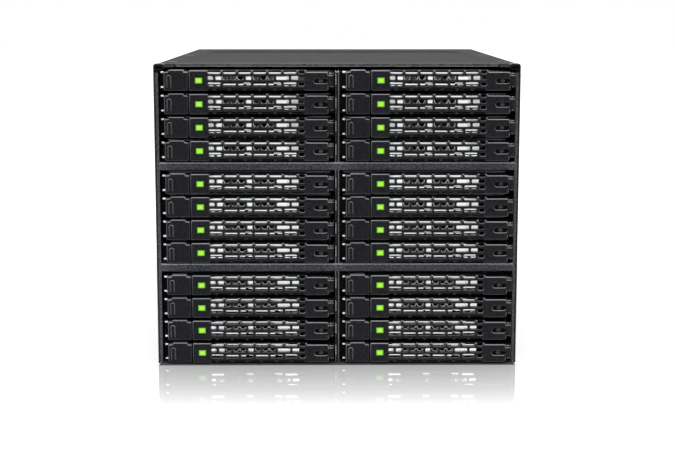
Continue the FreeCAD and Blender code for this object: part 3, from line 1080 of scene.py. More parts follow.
        # Painted edge highlight: none on the light window, full on the lock window, a little on the slots,
        # more on the last one.
        highlight = [0.0, 1.0]
        for row in (1, 2):
            slots = self.slot_holes(row, 0.0)
            holes += slots
            highlight += [self.slot_highlight] * len(slots)
        highlight[-1] = self.end_slot_highlight
        outline = self.face_outline()
        skin.plate(Facing.FRONT, outline, 0.0, self.sheet, tuple(holes), self.edge, hole_edge=SHEET_EDGE,
                   highlight=self.face_highlight(outline), hole_highlight=highlight)
        end = box_outline(self.step_x, self.edge, self.right, self.depth)
        for facing, flange, height in (
                (Facing.TOP, self.flange_outline(0, self.step_x), self.half_height),
                (Facing.TOP, rounded(end, (0.0, 0.0, self.flange_round, 0.0)), self.end_top),
                (Facing.BOTTOM, self.flange_outline(3, self.right), -self.half_height)):
            skin.plate(facing, flange, height, self.flange, edge=self.flange_edge, back=self.flange_edge,
                       highlight=0.0)
        self.piece(f"{self.body}_face", skin, LEVER_PAINT, "lever_paint", self.body, self.body)

    def tongue(self) -> None:
        """Build the tongue that turns on the hinge: flat at its root, round about the hinge."""
        skin = Skin()
        turn = np.linspace(-math.pi / 2.0, math.pi / 2.0, self.tongue_steps)
        arc = np.column_stack((self.hinge_x + self.hinge_radius * np.cos(turn),
                               self.hinge_radius * (1.0 + np.sin(turn))))
        root = self.right - self.tongue_root
        tongue = np.vstack(((root, self.tongue_setback), arc, (root, 2.0 * self.hinge_radius)))
        # Painted highlight on the tongue's front edge.
        highlight = np.where(tongue[:, 1] < self.hinge_radius, 1.0, 0.0)
        top, cap = self.tongue_half, self.tongue_cap
        skin.plate(Facing.TOP, tongue, top, cap, edge=SHEET_EDGE, highlight=highlight)
        skin.plate(Facing.TOP, tongue, top - cap, 2.0 * top - cap, back=self.tongue_back)
        self.piece(f"{self.body}_tongue", skin, LEVER_PAINT, "lever_paint", self.body)

    def backing(self) -> None:
        """Build the bare inner side of the lever's face, with the same slots."""
        low, high = self.backing_z
        outline = box_outline(self.wing_x[0], low, self.slot_end + self.backing_lap, high)
        holes = tuple(slot for row in (1, 2) for slot in self.slot_holes(row, self.backing_room))
        skin = Skin().plate(Facing.FRONT, outline, self.sheet, self.backing_sheet, holes)
        self.piece(f"{self.body}_backing", skin, LINER_METAL, "tray_metal", self.body)

    def rolled(self, front: float, high: float, low: float) -> Array:
        """Give the profile of a lower edge rolled to the back: it moves back with the square of the way down.

        Args:
            front: where the sheet's face lies.
            high: height at which the roll starts.
            low: height at which it ends.

        Returns:
            The profile's corners, anticlockwise.
        """
        share = np.linspace(0.0, 1.0, self.roll_steps)
        face = np.column_stack((front + self.roll_back * share ** 2, high + (low - high) * share))
        return np.vstack((face, (face + (self.wing_sheet, 0.0))[::-1]))

    def liner(self) -> None:
        """Build the bright bracket behind the slots: a leaning sheet with two windows, webs and wings."""
        skin = Skin()
        left, right = self.liner_x
        low, high = self.liner_z
        edge = [(left, low)]
        for begin, end in self.window_x:
            edge += [(begin, low), (begin, self.window_z[1]), (end, self.window_z[1]), (end, low)]
        cut = [0.0, self.window_round, self.window_round, 0.0]
        corners = [0.0, *cut * len(self.window_x), 0.0, self.liner_round, self.liner_round]
        outline = rounded([*edge, (right, low), (right, high), (left, high)], corners)
        skin.plate(Facing.FRONT, outline, self.liner_y, self.liner_sheet, edge=THIN_EDGE)
        foot = self.bead_z - self.bead_height / 2.0
        for begin, end in self.window_x:
            bead = box_outline(begin, foot, end, foot + self.bead_height)
            skin.plate(Facing.FRONT, bead, self.liner_y, self.liner_sheet, edge=HOLE_EDGE)
        back = self.liner_y + self.liner_sheet
        start = back - self.vent_rim_sheet
        for x in self.vents:
            ring = circle(x, self.vent_z, self.vent_radius + self.vent_rim, HOLE_STEPS)
            bore = circle(x, self.vent_z, self.vent_radius, HOLE_STEPS)
            skin.plate(Facing.FRONT, ring, start, self.vent_rim_sheet, (bore,), edge=self.vent_rim_edge,
                       hole_edge=self.vent_rim_edge)
        skin.lean(self.vent_z, self.liner_lean)
        thick = self.wing_sheet
        base, head = self.wing_z
        web = box_outline(self.sheet + self.web_room, base, back, head)
        skin.plate(Facing.RIGHT, web, left + thick, thick)
        skin.plate(Facing.LEFT, web, right - thick, thick)
        front = self.sheet + self.backing_sheet
        for begin, end in ((self.wing_x[0], left + thick), (right - thick, self.wing_x[1])):
            wing = box_outline(begin, base, end, head)
            skin.plate(Facing.FRONT, wing, front, thick, edge=THIN_EDGE)
        for begin, end in self.front_rolls:
            skin.plate(Facing.LEFT, self.rolled(front, base, self.roll_low), begin, end - begin)
        sheet_low = self.liner_y + self.liner_lean * (low - self.vent_z)
        for begin, end in self.rear_rolls:
            skin.plate(Facing.LEFT, self.rolled(sheet_low, low, self.roll_low), begin, end - begin)
        self.piece(f"{self.body}_liner", skin, LINER_METAL, "tray_metal", self.body)

    def vent_plates(self) -> None:
        """Build the dark plates behind the bracket's windows, each with three round vents whose rims carry a
        painted highlight.
        """
        skin = Skin()
        lap = self.window_lap
        low, high = self.window_z
        for begin, end in self.window_x:
            outline = box_outline(begin - lap, low - lap, end + lap, high + lap)
            holes = tuple(circle(x, self.vent_z, self.vent_radius, HOLE_STEPS)
                          for x in self.vents if begin < x < end)
            skin.plate(Facing.FRONT, outline, self.liner_y + self.liner_sheet, self.vent_sheet, holes,
                       hole_edge=self.vent_edge)
        skin.lean(self.vent_z, self.liner_lean)
        self.piece(f"{self.body}_vent_plates", skin, EDGED_STEEL, "lever_paint", self.body)

    def release(self) -> None:
        """Build the push release: a stepped block with a raised loop-shaped grip rib on its face."""
        skin = Skin()
        left, right = self.release_x
        low, step, high = self.release_z
        inner, outer = left + self.shoulder, right - self.shoulder
        points = [(left, low), (right, low), (right, step), (outer, step), (outer, high), (inner, high),
                  (inner, step), (left, step)]
        outline = rounded(points, self.release_rounds)
        # Painted edge highlight, little along the side next to the lever.
        highlight = np.where(outline[:, 0] > right - self.highlight_room, self.slot_highlight, 1.0)
        skin.plate(Facing.FRONT, outline, self.release_face, self.release_depth, edge=self.release_edge,
                   back=SHEET_EDGE, highlight=highlight)
        left, right = self.rib_x
        low, high = self.rib_z
        thick = self.rib_width
        rib = [(left, low), (left + thick, low), (left + thick, high - thick), (right - thick, high - thick),
               (right - thick, low), (right, low), (right, high), (left, high)]
        turn = self.rib_turn * (right - left)
        foot = [self.rib_round] * 2
        loop = rounded(rib, [*foot, turn - thick, turn - thick, *foot, turn, turn])
        skin.plate(Facing.FRONT, loop, 0.0, self.release_face + self.rib_root, edge=self.rib_edge)
        self.piece(f"{self.body}_release", skin, RELEASE_PLASTIC, "release_plastic",
                   *self.carrier("release_01"))

    def light(self) -> None:
        """Build the light pipe: a rod with a crowned end that fills its window."""
        skin = Skin()
        room = self.pipe_room
        outline = rounded(around(self.light_x, 0.0, self.light_width - room, self.light_height - room),
                          self.pipe_round)
        skin.loft(Facing.FRONT, outline, self.pipe_front, self.pipe_scales, self.pipe_depths)
        self.piece(f"{self.body}_light", skin, self.glow(), "release_plastic", self.body)

    def glow(self) -> Glow:
        """Give the light pipe's finish."""
        return Glow("lit light pipe", self.pipe_dark, self.pipe_light, middle=(self.light_x, 0.0),
                    half_width=self.light_width / 2.0, half_height=self.light_height / 2.0)

    def lock_core(self) -> None:
        """Build the lock's core: a turned pin with a key slot."""
        skin = Skin()
        pin = circle(*self.lock, self.core_radius)
        slot = rounded(around(*self.lock, *self.key_size), self.key_round)
        skin.plate(Facing.FRONT, pin, self.core_front, self.core_head, (slot,), edge=SHEET_EDGE,
                   hole_edge=self.key_edge)
        skin.plate(Facing.FRONT, pin, self.core_front + self.core_head, self.core_length)
        self.piece(f"{self.body}_lock_core", skin, LOCK_METAL, "lock_metal", *self.carrier("lock_01"))

    def lock_seat(self) -> None:
        """Build the lock's dark seat behind its window."""
        bore = circle(*self.lock, self.core_radius + self.seat_room)
        lap = self.seat_lap
        block = around(*self.lock, self.lock_width + lap, self.lock_height + lap)
        skin = Skin().plate(Facing.FRONT, rounded(block, self.seat_round), self.sheet + self.seat_setback,
                            self.seat_sheet, (bore,), THIN_EDGE, hole_edge=THIN_EDGE)
        self.piece(f"{self.body}_lock_seat", skin, DARK_STEEL, "lever_paint", self.body)

    def show(self) -> None:
        """Make the pieces of one tray's face."""
        for make in (self.lever, self.tongue, self.liner, self.backing, self.vent_plates, self.light,
                     self.release, self.lock_core, self.lock_seat):
            make()


@dataclass
class TrayBox(TrayPart):
    """Tray behind the face: bright folded sheet with ears, hinge pin and the drive that it carries."""

    # Folded sheet
    half_width: float = 35.475
    sheet: float = 0.5
    low: float = -4.15
    rail_top: float = 2.0
    rail_round: float = 1.2
    floor_edge: float = 0.05
    front: float = 7.6
    rear: float = 117.0
    # Front wall
    wall_top: float = 3.4
    vent_size: Pair = (7.0, 2.4)
    vent_z: float = 0.0
    vent_edge: float = 0.12
    vents: Row = (-16.0, -7.0, 2.0, 11.0, 20.0)
    # Catch ears
    ear_left: float = -34.55
    ear_width: float = 1.5
    ear_front: float = 2.0
    ear_sheet: float = 0.7
    ear_tops: Pair = (3.6, -2.35)
    ear_round: float = 0.35
    # Hinge ears
    hinge_left: float = 33.45
    hinge_right: float = 35.25
    hinge_front: float = 0.625
    hinge_tops: Pair = (2.95, -2.25)
    hinge_x: float = 34.0
    hinge_y: float = 1.25
    hinge_round: float = 0.85
    hinge_steps: int = 6
    # reach and strength of the painted glint on the ears' edges
    hinge_bright: float = 0.1
    hinge_highlight: Pair = (1.0, 0.25)
    pin_radius: float = 0.5
    # Drive
    drive_half: float = 34.925
    drive_start: float = 17.95
    drive_end: float = 117.95
    drive_low: float = -3.65
    drive_height: float = 7.0
    drive_round: float = 1.2
    drive_edges: Pair = (0.4, 0.1)
    lid_height: float = 1.4
    lid_seam: float = 0.1
    field_side: float = 6.0
    field_ends: Pair = (8.0, 10.0)
    field_round: float = 4.0
    field_depth: float = 0.3
    field_slope: float = 1.0
    # Contact strip
    strip_place: Pair = (-9.0, -1.3)
    strip_size: Pair = (38.0, 3.2)
    strip_round: float = 0.4
    strip_out: float = 0.03
    strip_sheet: float = 1.0
    strip_edge: float = 0.02
    # Screws
    screw_y: Pair = (32.0, 108.6)
    screw_z: float = -0.6
    screw_hole: float = 1.6
    screw_radius: float = 1.5
    screw_setback: float = 0.15
    screw_head: float = 0.35
    screw_edge: float = 0.08
    cross_reach: float = 0.8
    cross_half: float = 0.2

    def carrier(self) -> None:
        """Build the folded tray's floor and its two rails."""
        skin = Skin()
        start = self.front + self.sheet
        floor = box_outline(-self.half_width, start, self.half_width, self.rear)
        skin.plate(Facing.TOP, floor, self.low + self.sheet, self.sheet, edge=self.floor_edge,
                   back=THIN_EDGE)
        rail = box_outline(start, self.low, self.rear, self.rail_top)
        rail = rounded(rail, (0.0, 0.0, self.rail_round, 0.0))
        holes = tuple(circle(y, self.screw_z, self.screw_hole, PIN_STEPS) for y in self.screw_y)
        for facing, x in ((Facing.LEFT, -self.half_width), (Facing.RIGHT, self.half_width)):
            skin.plate(facing, rail, x, self.sheet, holes, edge=THIN_EDGE)
        self.piece(f"{self.body}_carrier", skin, TRAY_METAL, "tray_metal", self.body, self.body)

    def screws(self) -> None:
        """Build the flat screws that hold the drive between the rails."""
        skin = Skin()
        far, near = self.cross_reach, self.cross_half
        quarter = np.array([(near, -near), (far, -near), (far, near)])
        turns = [quarter @ np.array([(cos, sin), (-sin, cos)])
                 for cos, sin in ((0.0, -1.0), (1.0, 0.0), (0.0, 1.0), (-1.0, 0.0))]
        cross = np.vstack(turns)
        face = self.half_width - self.screw_setback
        for facing, x in ((Facing.LEFT, -face), (Facing.RIGHT, face)):
            for y in self.screw_y:
                head = circle(y, self.screw_z, self.screw_radius, PIN_STEPS)
                slot = cross + (y, self.screw_z)
                skin.plate(facing, head, x, self.screw_head, (slot,), edge=self.screw_edge)
        self.piece(f"{self.body}_screws", skin, SCREW_METAL, "tray_metal", self.body)

    def hinge_ears(self) -> None:
        """Build the two hinge ears at the right end and the hinge pin between them, with painted glints on
        the ears' edges.
        """
        skin = Skin()
        ear = box_outline(self.hinge_left, self.hinge_front, self.hinge_right, self.front)
        outline = rounded(ear, (self.hinge_round, self.hinge_round, 0.0, 0.0), self.hinge_steps)
        # Painted glint: full on the ears' edges up to just past the hinge, weak beyond.
        highlight = np.where(outline[:, 0] < self.hinge_x + self.hinge_bright, *self.hinge_highlight)
        for top in self.hinge_tops:
            skin.plate(Facing.TOP, outline, top, self.ear_sheet, edge=SHEET_EDGE, back=SHEET_EDGE,
                       highlight=highlight)
        pin = circle(self.hinge_x, self.hinge_y, self.pin_radius, PIN_STEPS)
        length = self.hinge_tops[0] - self.hinge_tops[1] + self.ear_sheet
        skin.plate(Facing.TOP, pin, self.hinge_tops[0], length, edge=THIN_EDGE, back=THIN_EDGE)
        self.piece(f"{self.body}_hinge_ears", skin, EDGED_STEEL, "lever_paint", self.body)

    def catch_ears(self) -> None:
        """Build the two bright catch ears at the left end."""
        skin = Skin()
        ear = box_outline(self.ear_left, self.ear_front, self.ear_left + self.ear_width, self.front)
        outline = rounded(ear, (self.ear_round, self.ear_round, 0.0, 0.0))
        for top in self.ear_tops:
            skin.plate(Facing.TOP, outline, top, self.ear_sheet, edge=SHEET_EDGE, back=SHEET_EDGE)
        self.piece(f"{self.body}_catch_ears", skin, TRAY_METAL, "tray_metal", self.body)

    def front_wall(self) -> None:
        """Build the front wall with its vents, in dark steel that paints the shade behind the bracket."""
        wall = box_outline(-self.half_width, self.low, self.half_width, self.wall_top)
        holes = tuple(obround(x, self.vent_z, *self.vent_size) for x in self.vents)
        skin = Skin().plate(Facing.FRONT, wall, self.front, self.sheet, holes, THIN_EDGE,
                            hole_edge=self.vent_edge)
        # Dark steel here is painted shade; the rest of the carrier is bright.
        self.piece(f"{self.body}_front_wall", skin, DARK_STEEL, "lever_paint", self.body)

    def drive(self) -> None:
        """Build the drive: a base and a lid with a shallow pressed field, parted by a fine seam."""
        skin = Skin()
        half, start, end = self.drive_half, self.drive_start, self.drive_end
        body = rounded(box_outline(-half, start, half, end), self.drive_round)
        side = half - self.field_side
        field = rounded(box_outline(-side, start + self.field_ends[0], side, end - self.field_ends[1]),
                        self.field_round)
        outer, seam = self.drive_edges
        top = self.drive_low + self.drive_height
        pressing = (field, self.field_depth, self.field_slope)
        skin.plate(Facing.TOP, body, top, self.lid_height, edge=outer, back=seam, pressings=(pressing,))
        drop = self.lid_height + self.lid_seam
        skin.plate(Facing.TOP, body, top - drop, self.drive_height - drop, edge=seam, back=outer)
        self.piece(f"{self.body}_drive", skin, DRIVE_METAL, "tray_metal", self.body)

    def contacts(self) -> None:
        """Build the drive's contact strip at its back."""
        strip = rounded(around(*self.strip_place, *self.strip_size), self.strip_round)
        skin = Skin().plate(Facing.BACK, strip, self.drive_end + self.strip_out, self.strip_sheet,
                            edge=self.strip_edge)
        self.piece(f"{self.body}_contacts", skin, SOCKET_PLASTIC, "socket_plastic", self.body)

    def show(self) -> None:
        """Make the pieces of one tray."""
        for make in (self.carrier, self.catch_ears, self.hinge_ears, self.front_wall, self.drive, self.screws,
                     self.contacts):
            make()


@dataclass
class CageShell(SubAssembly):
    """Folded cage: base, walls, rails, front flanges, corner posts and the strips that carry the trays."""

    # Sheets
    half_body: float = 73.0
    half_flange: float = 74.2
    wall: float = 0.7
    front: float = 3.0
    rear: float = 177.0
    wall_top: float = 123.0
    top: float = 124.0
    rail: float = 6.7
    # Corner posts
    post_width: float = 1.9
    post_height: float = 3.7
    post_length: float = 6.0
    post_rounds: Row = (0.2, 0.2, 0.3, 0.6, 0.8, 1.0)
    post_edge: float = 0.6
    cheek_width: float = 4.2
    cheek_height: float = 2.75
    # Front edges
    lip_split: float = 73.3
    face_room: float = 0.3
    toe: float = 0.3
    toe_sheet: float = 0.42
    toe_highlight: float = 0.3
    fold_edge: float = 0.3
    lip_edge: float = 0.45
    face_highlight: float = 0.3
    # Side holes
    hole_radius: float = 1.25
    hole_y: Pair = (50.4, 129.65)
    hole_z: Pair = (21.84, 104.44)
    # Runner strips
    strip_reach: float = 2.2
    strip_sheet: float = 0.7
    strip_drop: float = 4.25
    strip_y: Pair = (14.0, 116.0)
    divider_half: float = 0.8

    def shell(self) -> None:
        """Build the base with its toe, the walls and the flanges' dark outer edges as plates."""
        skin = Skin()
        holes = tuple(circle(y, z, self.hole_radius, HOLE_STEPS)
                      for y in self.hole_y for z in self.hole_z)
        behind = self.front + self.face_room
        side = box_outline(behind, 0.0, self.rear, self.wall_top)
        base = box_outline(-self.half_body, behind, self.half_body, self.rear)
        skin.plate(Facing.BOTTOM, base, 0.0, self.wall, edge=self.fold_edge)
        for sign, facing in ((-1.0, Facing.LEFT), (1.0, Facing.RIGHT)):
            skin.plate(facing, side, sign * self.half_body, self.wall, holes, edge=self.fold_edge,
                       hole_edge=HOLE_EDGE)
            lip = side_box(sign, self.lip_split, self.half_flange, 0.0, self.top - self.post_height)
            skin.plate(Facing.FRONT, lip, self.front, self.wall, edge=self.lip_edge, back=SHEET_EDGE,
                       highlight=0.0)
        # The toe carries a little painted edge highlight; the lips above carry none.
        toe = box_outline(-self.lip_split, 0.0, self.lip_split, self.toe_sheet)
        length = self.front + self.wall - self.toe
        skin.plate(Facing.FRONT, toe, self.toe, length, edge=HOLE_EDGE, highlight=self.toe_highlight)
        self.piece("cage_folded_shell", skin, CAGE_PAINT, "cage_paint", "cage", "chassis_shell")

    def front_faces(self) -> None:
        """Build the flanges' speckled inner faces, with a little painted highlight on their edges."""
        skin = Skin()
        inner, top = self.half_body - self.wall, self.top - self.post_height
        for sign in (-1.0, 1.0):
            face = side_box(sign, inner, self.lip_split, self.wall, top)
            skin.plate(Facing.FRONT, face, self.front, self.wall, edge=SHEET_EDGE, highlight=self.face_highlight)
        self.piece("cage_front_faces", skin, BAR_PAINT, "cage_paint", "cage")

    def rails(self) -> None:
        """Build the folded top rails under the cover."""
        skin = Skin()
        for sign in (-1.0, 1.0):
            rail = side_box(sign, self.half_body - self.rail, self.half_body, self.front, self.rear)
            skin.plate(Facing.TOP, rail, self.wall_top, self.wall, edge=SHEET_EDGE)
        self.piece("cage_top_rails", skin, DARK_STEEL, "cage_paint", "cage")

    def posts(self) -> None:
        """Build the rounded corner posts in front of the cover."""
        skin = Skin()
        low = self.top - self.post_height
        rise = self.top - self.cheek_height
        for sign in (-1.0, 1.0):
            outer = sign * self.half_flange
            inner = sign * (self.half_flange - self.post_width)
            cheek = sign * (self.half_flange - self.cheek_width)
            corners = [(outer, low), (inner, low), (inner, rise), (cheek, rise), (cheek, self.top),
                       (outer, self.top)]
            order = int(-sign)
            outline = rounded(corners[::order], self.post_rounds[::order])
            skin.plate(Facing.FRONT, outline, self.front, self.post_length, edge=self.post_edge,
                       back=SHEET_EDGE)
        self.piece("cage_corner_posts", skin, POST_GLOSS, "cage_paint", "cage")

    def strips(self) -> None:
        """Build the strips along each upright sheet, one under each tray but the lowest."""
        skin = Skin()
        inner = self.half_body - self.wall
        for face_x, inward_sign in ((-inner, 1.0), (inner, -1.0), (-self.divider_half, -1.0),
                                    (self.divider_half, 1.0)):
            left, right = sorted((face_x, face_x + inward_sign * self.strip_reach))
            outline = box_outline(left, self.strip_y[0], right, self.strip_y[1])
            for row in self.rows[:-1]:
                skin.plate(Facing.TOP, outline, row - self.strip_drop, self.strip_sheet, edge=THIN_EDGE,
                           back=THIN_EDGE)
        self.piece("cage_runner_strips", skin, CAGE_PAINT, "cage_paint", "cage")

    def show(self) -> None:
        """Make the cage's pieces."""
        for make in (self.shell, self.front_faces, self.rails, self.posts, self.strips):
            make()


@dataclass
class TopCover(SubAssembly):
    """Top sheet with its pressed panel and the flat screws that hold it."""

    # Sheet
    half_width: float = 73.0
    front: float = 11.0
    rear: float = 177.0
    top: float = 124.0
    sheet: float = 1.0
    # Pressed panel
    panel_half: float = 62.5
    panel_y: Pair = (33.0, 142.0)
    panel_depth: float = 0.5
    panel_round: float = 9.0
    panel_steps: int = 8
    panel_slope: float = 1.6
    # Screws
    screw_x: float = 69.0
    screw_y: Row = (24.0, 94.0, 166.0)
    screw_radius: float = 1.9
    screw_room: float = 0.15
    screw_slot: Pair = (2.4, 0.5)
    screw_drop: float = 0.1
    screw_head: float = 0.85
    back_screw: float = 5.0
    # Edges
    edge: float = 0.5
    corner_round: float = 0.8
    highlight_reach: float = 0.9
    front_highlight: float = 0.4
    # Front fold
    fold_half: float = 66.0
    fold_front: float = 10.7
    fold_z: Pair = (122.75, 123.6)
    fold_sheet: float = 0.8
    hem: float = 0.3

    def screw_places(self) -> list[Pair]:
        """Give the screws' middles: along both sides, and one at the middle of the back edge."""
        places = [(sign * self.screw_x, y) for sign in (-1.0, 1.0) for y in self.screw_y]
        return places + [(0.0, self.rear - self.back_screw)]

    def sheet_skin(self) -> None:
        """Build the sheet with its pressed panel and screw holes."""
        skin = Skin()
        sheet = box_outline(-self.half_width, self.front, self.half_width, self.rear)
        outline = rounded(sheet, self.corner_round)
        panel = box_outline(-self.panel_half, self.panel_y[0], self.panel_half, self.panel_y[1])
        panel = rounded(panel, self.panel_round, self.panel_steps)
        reach = self.screw_radius + self.screw_room
        holes = tuple(circle(x, y, reach, HOLE_STEPS) for x, y in self.screw_places())
        # Painted highlight along the front edge only.
        highlight = np.where(outline[:, 1] < self.front + self.highlight_reach, self.front_highlight, 0.0)
        skin.plate(Facing.TOP, outline, self.top, self.sheet, holes, self.edge, hole_edge=HOLE_EDGE,
                   pressings=((panel, self.panel_depth, self.panel_slope),), highlight=highlight)
        self.piece("cover_sheet", skin, COVER_PAINT, "cage_paint", "cage", "top_cover")

    def fold_skin(self) -> None:
        """Build the fold that turns down along the cover's front edge, in a lighter coat that paints its
        highlight.
        """
        fold = box_outline(-self.fold_half, self.fold_z[0], self.fold_half, self.fold_z[1])
        skin = Skin().plate(Facing.FRONT, fold, self.fold_front, self.fold_sheet, edge=THIN_EDGE, highlight=0.0)
        self.piece("cover_fold", skin, FOLD_HIGHLIGHT_PAINT, "cage_paint", "cage")

    def hem_skin(self) -> None:
        """Build the thin hem under the fold, in a light coat that paints a highlight line."""
        hem = box_outline(-self.fold_half, self.fold_z[0] - self.hem, self.fold_half, self.fold_z[0])
        skin = Skin().plate(Facing.FRONT, hem, self.fold_front, self.fold_sheet, edge=THIN_EDGE)
        self.piece("cover_hem", skin, LIP_HIGHLIGHT_PAINT, "cage_paint", "cage")

    def screw_skin(self) -> None:
        """Build the flat screws."""
        skin = Skin()
        for x, y in self.screw_places():
            head = circle(x, y, self.screw_radius, HOLE_STEPS)
            slot = around(x, y, *self.screw_slot)
            skin.plate(Facing.TOP, head, self.top - self.screw_drop, self.screw_head, (slot,),
                       edge=HOLE_EDGE)
        self.piece("cover_screws", skin, DARK_STEEL, "cage_paint", "cage")

    def show(self) -> None:
        """Make the cover's pieces."""
        for make in (self.sheet_skin, self.fold_skin, self.hem_skin, self.screw_skin):
            make()


@dataclass
class FrontFrame(SubAssembly):
    """Upright divider between the columns and the two bars across the front."""

    front: float = 3.0
    # Bars
    half_bar: float = 72.3
    bar_height: float = 3.25
    bar_depth: float = 8.0
    bar_sheet: float = 0.8
    bar_drop: float = 4.91
    bar_lip: float = 0.6
    # Divider
    half_divider: float = 0.8
    leaf: float = 0.5
    spine_setback: float = 0.5
    rear: float = 125.4
    low: float = 0.7
    high: float = 123.0
    rows_per_bay: int = 4
    notch: float = 3.0
    head_low: float = 120.9
    head_back: float = 30.0
    # Bare edges
    segment: Pair = (-1.9, 2.3)
    bare_sheet: float = 0.2
    bare_head: float = 0.45

    def bar_tops(self) -> list[float]:
        """Give the bars' top heights: a step under the last row of each bay but the lowest."""
        return [row - self.bar_drop for row in self.rows[self.rows_per_bay - 1:-1:self.rows_per_bay]]

    def bars(self) -> None:
        """Build each bar as a channel that opens to the back."""
        skin = Skin()
        back = self.front + self.bar_depth
        ledge = box_outline(-self.half_bar, self.front + SHEET_EDGE, self.half_bar, back)
        for top in self.bar_tops():
            low = top - self.bar_height
            face = box_outline(-self.half_bar, low, self.half_bar, top - self.bar_lip)
            skin.plate(Facing.FRONT, face, self.front, self.bar_sheet, edge=SHEET_EDGE, highlight=0.0)
            skin.plate(Facing.TOP, ledge, top, self.bar_sheet, edge=THIN_EDGE)
            skin.plate(Facing.BOTTOM, ledge, low, self.bar_sheet, edge=THIN_EDGE)
        self.piece("bay_bars_channels", skin, BAR_PAINT, "cage_paint", "cage", "bay_bars")

    def lips(self) -> None:
        """Build the lip along each bar's top edge, in a light coat that paints its highlight."""
        skin = Skin()
        for top in self.bar_tops():
            lip = box_outline(-self.half_bar, top - self.bar_lip, self.half_bar, top)
            skin.plate(Facing.FRONT, lip, self.front, self.bar_sheet, edge=SHEET_EDGE)
        self.piece("bay_bars_lips", skin, LIP_HIGHLIGHT_PAINT, "cage_paint", "cage")

    def divider_outline(self, notch: float) -> Array:
        """Give a leaf of the divider, cut out for the bars and notched between the trays of a bay.

        Args:
            notch: depth of the notches; nothing leaves the front edge straight.

        Returns:
            The leaf's corners, anticlockwise.
        """
        back = self.front + self.bar_depth
        cuts = [(top, top - self.bar_height, back) for top in self.bar_tops()]
        if notch > 0.0:
            gaps = enumerate(zip(self.rows, self.rows[1:]), start=1)
            cuts += [(above + self.segment[0], below + self.segment[1], self.front + notch)
                     for place, (above, below) in gaps if place % self.rows_per_bay]
        head = self.front + self.head_back
        edge = [(self.rear, self.low), (self.rear, self.high), (head, self.high), (head, self.head_low),
                (self.front, self.head_low)]
        for top, low, deep in sorted(cuts, reverse=True):
            edge += [(self.front, top), (deep, top), (deep, low), (self.front, low)]
        return np.array([*edge, (self.front, self.low)])

    def divider(self) -> None:
        """Build the divider: two leaves, the left one notched, and a spine set back between them."""
        skin = Skin()
        outline = self.divider_outline(0.0)
        thick = self.leaf
        left = self.divider_outline(self.notch)
        for facing, leaf, x in ((Facing.LEFT, left, -self.half_divider),
                                (Facing.RIGHT, outline, self.half_divider)):
            skin.plate(facing, leaf, x, thick, edge=SHEET_EDGE, back=SHEET_EDGE)
        spine = outline.copy()
        spine[:, 0] = np.where(spine[:, 0] == self.front, self.front + self.spine_setback, spine[:, 0])
        skin.plate(Facing.RIGHT, spine, self.half_divider - thick, 2.0 * (self.half_divider - thick))
        self.piece("divider_leaves", skin, DIVIDER_PAINT, "cage_paint", "cage", "centre_divider")

    def bare_edges(self) -> None:
        """Build the bare front edge of the left leaf beside each tray, and the divider's bare head."""
        skin = Skin()
        half = self.half_divider
        low, high = self.segment
        strips = [box_outline(-half, row + low, self.leaf - half, row + high) for row in self.rows]
        strips.append(box_outline(-half, self.head_low - self.bare_head, half, self.head_low))
        for strip in strips:
            skin.plate(Facing.FRONT, strip, self.front - self.bare_sheet, self.bare_sheet,
                       edge=HOLE_EDGE)
        self.piece("divider_bare_edges", skin, BARE_EDGE, "cage_paint", "cage")

    def show(self) -> None:
        """Make the divider and the bars."""
        for make in (self.divider, self.bare_edges, self.bars, self.lips):
            make()


